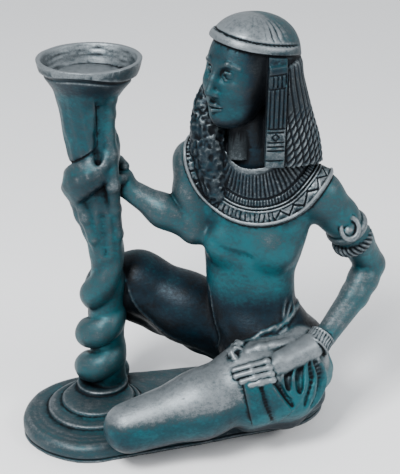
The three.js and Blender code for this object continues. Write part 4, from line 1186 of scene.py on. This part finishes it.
def painted_plaster():
    material = bpy.data.materials.new("painted_plaster")
    n = Nodes(material)
    place = n.add("TexCoord").outputs["Object"]
    clouds = n.grain(place, 22, 2)
    along_floor = n.add("Mapping", Vector=place, Scale=(0.85, 0.85, 1.15)).outputs[0]
    patches = n.grain(along_floor, 80, 4, 0.6)
    strokes = n.grain(along_floor, 430, 3, 0.65)
    specks = n.grain(place, 1500, 2, 0.6)
    relief = n.mark("relief")
    hollow = n.mark("hollow")
    shade = n.mark("shade")
    silver = n.mark("silver")
    painted_shade_and_dark_paint = n.mark("painted_shade_and_dark_paint")
    up = n.add("SeparateXYZ", Vector=n.add("NewGeometry").outputs["Normal"]).outputs["Z"]

    # Teal ramp: painted shade from the darkening share and the shade mark, lighter teal on upward-facing skin and
    # darker on downward-facing skin as painted light from above, with random mottling.
    depth = n.total(painted_shade_and_dark_paint, (shade, 0.5), (up, -0.35), (patches, 1.1), (clouds, 0.9), (strokes, 0.8))
    teal = n.mix(n.step(depth, -0.1, 0.45), BRIGHT_TEAL, TEAL)
    teal = n.mix(n.step(depth, 0.35, 0.95), teal, DEEP_BLUE)
    teal = n.mix(n.step(depth, 0.85, 1.4), teal, NEAR_BLACK)

    # Dry-brushed silver on ridges and on the forms given silver, kept out of hollows, with a little more on
    # upward-facing skin as a painted highlight from above; strong brushing turns the dull silver bright.
    brushed = n.total(silver, (relief, 0.5), (up, 0.25), (hollow, -0.35), (painted_shade_and_dark_paint, -0.1))
    brushed = n.total(brushed, (strokes, 0.75), (patches, 0.7), (specks, 0.6))
    cover = n.step(brushed, 0.05, 1.15)
    metal = n.mix(n.step(brushed, 0.55, 1.4), DULL_SILVER, SILVER)
    colour = n.mix(cover, teal, metal)

    # Near black in dips and hollows and on darkened forms: partly a dark wash settled in the recesses, partly painted
    # shade.
    wash_and_painted_shade = n.total(0.0, (relief, -0.8), (hollow, 0.45), (painted_shade_and_dark_paint, 0.25), (strokes, 0.6))
    dark = n.step(wash_and_painted_shade, 0.3, 0.95)
    colour = n.mix(dark, colour, NEAR_BLACK)

    shader = n.add("BsdfPrincipled")
    n.put(shader.inputs["Base Color"], colour)
    n.put(shader.inputs["Roughness"], n.total(0.46, (strokes, 0.3), (dark, 0.25)))
    n.put(shader.inputs["Metallic"], n.total(0.3, (cover, 0.4)))
    n.put(shader.inputs["Specular IOR Level"], 0.2)
    lumps = n.add("Bump", Height=n.total(strokes, (specks, 0.5)), Strength=0.35, Distance=0.0005)
    n.put(shader.inputs["Normal"], lumps.outputs[0])
    output = n.add("OutputMaterial")
    n.put(output.inputs["Surface"], shader.outputs[0])
    return material


def build_statue():
    values, low = sample(GRID_STEP)
    points, quads = largest_body(*skin(values, low, GRID_STEP))
    points = points - slope(points, field, 0.3) * np.clip(field(points), -0.4, 0.4)[:, None]
    points[:, 2] = np.maximum(points[:, 2], 0)
    statue = bpy.data.objects.new("statue_cast", mesh_of("statue_cast", (points - PART_ORIGIN) / 1000, quads))
    bpy.context.scene.collection.objects.link(statue)
    thinned(statue, MOST_TRIANGLES)
    statue.data.polygons.foreach_set("use_smooth", np.ones(len(statue.data.polygons), bool))
    store(statue.data, relief_marks(statue.data))
    store(statue.data, tone_marks(statue.data))
    statue.data.materials.clear()
    statue.data.materials.append(painted_plaster())
    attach(statue, "root")
    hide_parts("statue")


# Setting
CAMERA_AIM = Vector((0, 0, 0.147))
CAMERA_RISE = math.radians(25)
CAMERA_AWAY = 0.914
PHOTO_SIZE = (400, 474)
FOCAL_PIXELS = 1344
FLOOR_HALF = 4.0


def set_camera():
    sensor = 36
    camera = bpy.data.objects.new("camera", bpy.data.cameras.new("camera"))
    camera.data.sensor_width = sensor
    camera.data.lens = FOCAL_PIXELS * sensor / max(PHOTO_SIZE)
    back = Vector((0, -math.cos(CAMERA_RISE), math.sin(CAMERA_RISE)))
    aim = CAMERA_AIM - Vector(PART_ORIGIN) / 1000
    camera.location = aim + back * CAMERA_AWAY
    camera.rotation_euler = back.to_track_quat("Z", "Y").to_euler()
    bpy.context.scene.collection.objects.link(camera)
    bpy.context.scene.camera = camera


def add_lamp(name, place, size, power, colour=(1, 1, 1)):
    lamp = bpy.data.objects.new(name, bpy.data.lights.new(name, "AREA"))
    lamp.data.size = size
    lamp.data.energy = power
    lamp.data.color = colour
    lamp.location = place
    lamp.rotation_euler = (Vector(place) - CAMERA_AIM).to_track_quat("Z", "Y").to_euler()
    bpy.context.scene.collection.objects.link(lamp)


def set_stage():
    half = FLOOR_HALF
    mesh = bpy.data.meshes.new("floor")
    mesh.from_pydata([(-half, -half, 0), (half, -half, 0), (half, half, 0), (-half, half, 0)], [], [(0, 1, 2, 3)])
    floor = bpy.data.objects.new("floor", mesh)
    bpy.context.scene.collection.objects.link(floor)
    material = bpy.data.materials.new("pale_floor")
    n = Nodes(material)
    shader = n.add("BsdfPrincipled", Base_Color=(0.95, 0.955, 0.96, 1), Roughness=0.8)
    n.put(n.add("OutputMaterial").inputs["Surface"], shader.outputs[0])
    mesh.materials.append(material)
    world = bpy.data.worlds.new("studio")
    bpy.context.scene.world = world
    world.use_nodes = True
    world.node_tree.nodes["Background"].inputs["Color"].default_value = (0.93, 0.96, 1, 1)
    world.node_tree.nodes["Background"].inputs["Strength"].default_value = 0.85
    add_lamp("key", (-0.5, -0.7, 1.25), 0.45, 32)
    add_lamp("side", (0.9, -0.35, 0.7), 0.4, 6)


set_camera()
set_stage()
build_statue()
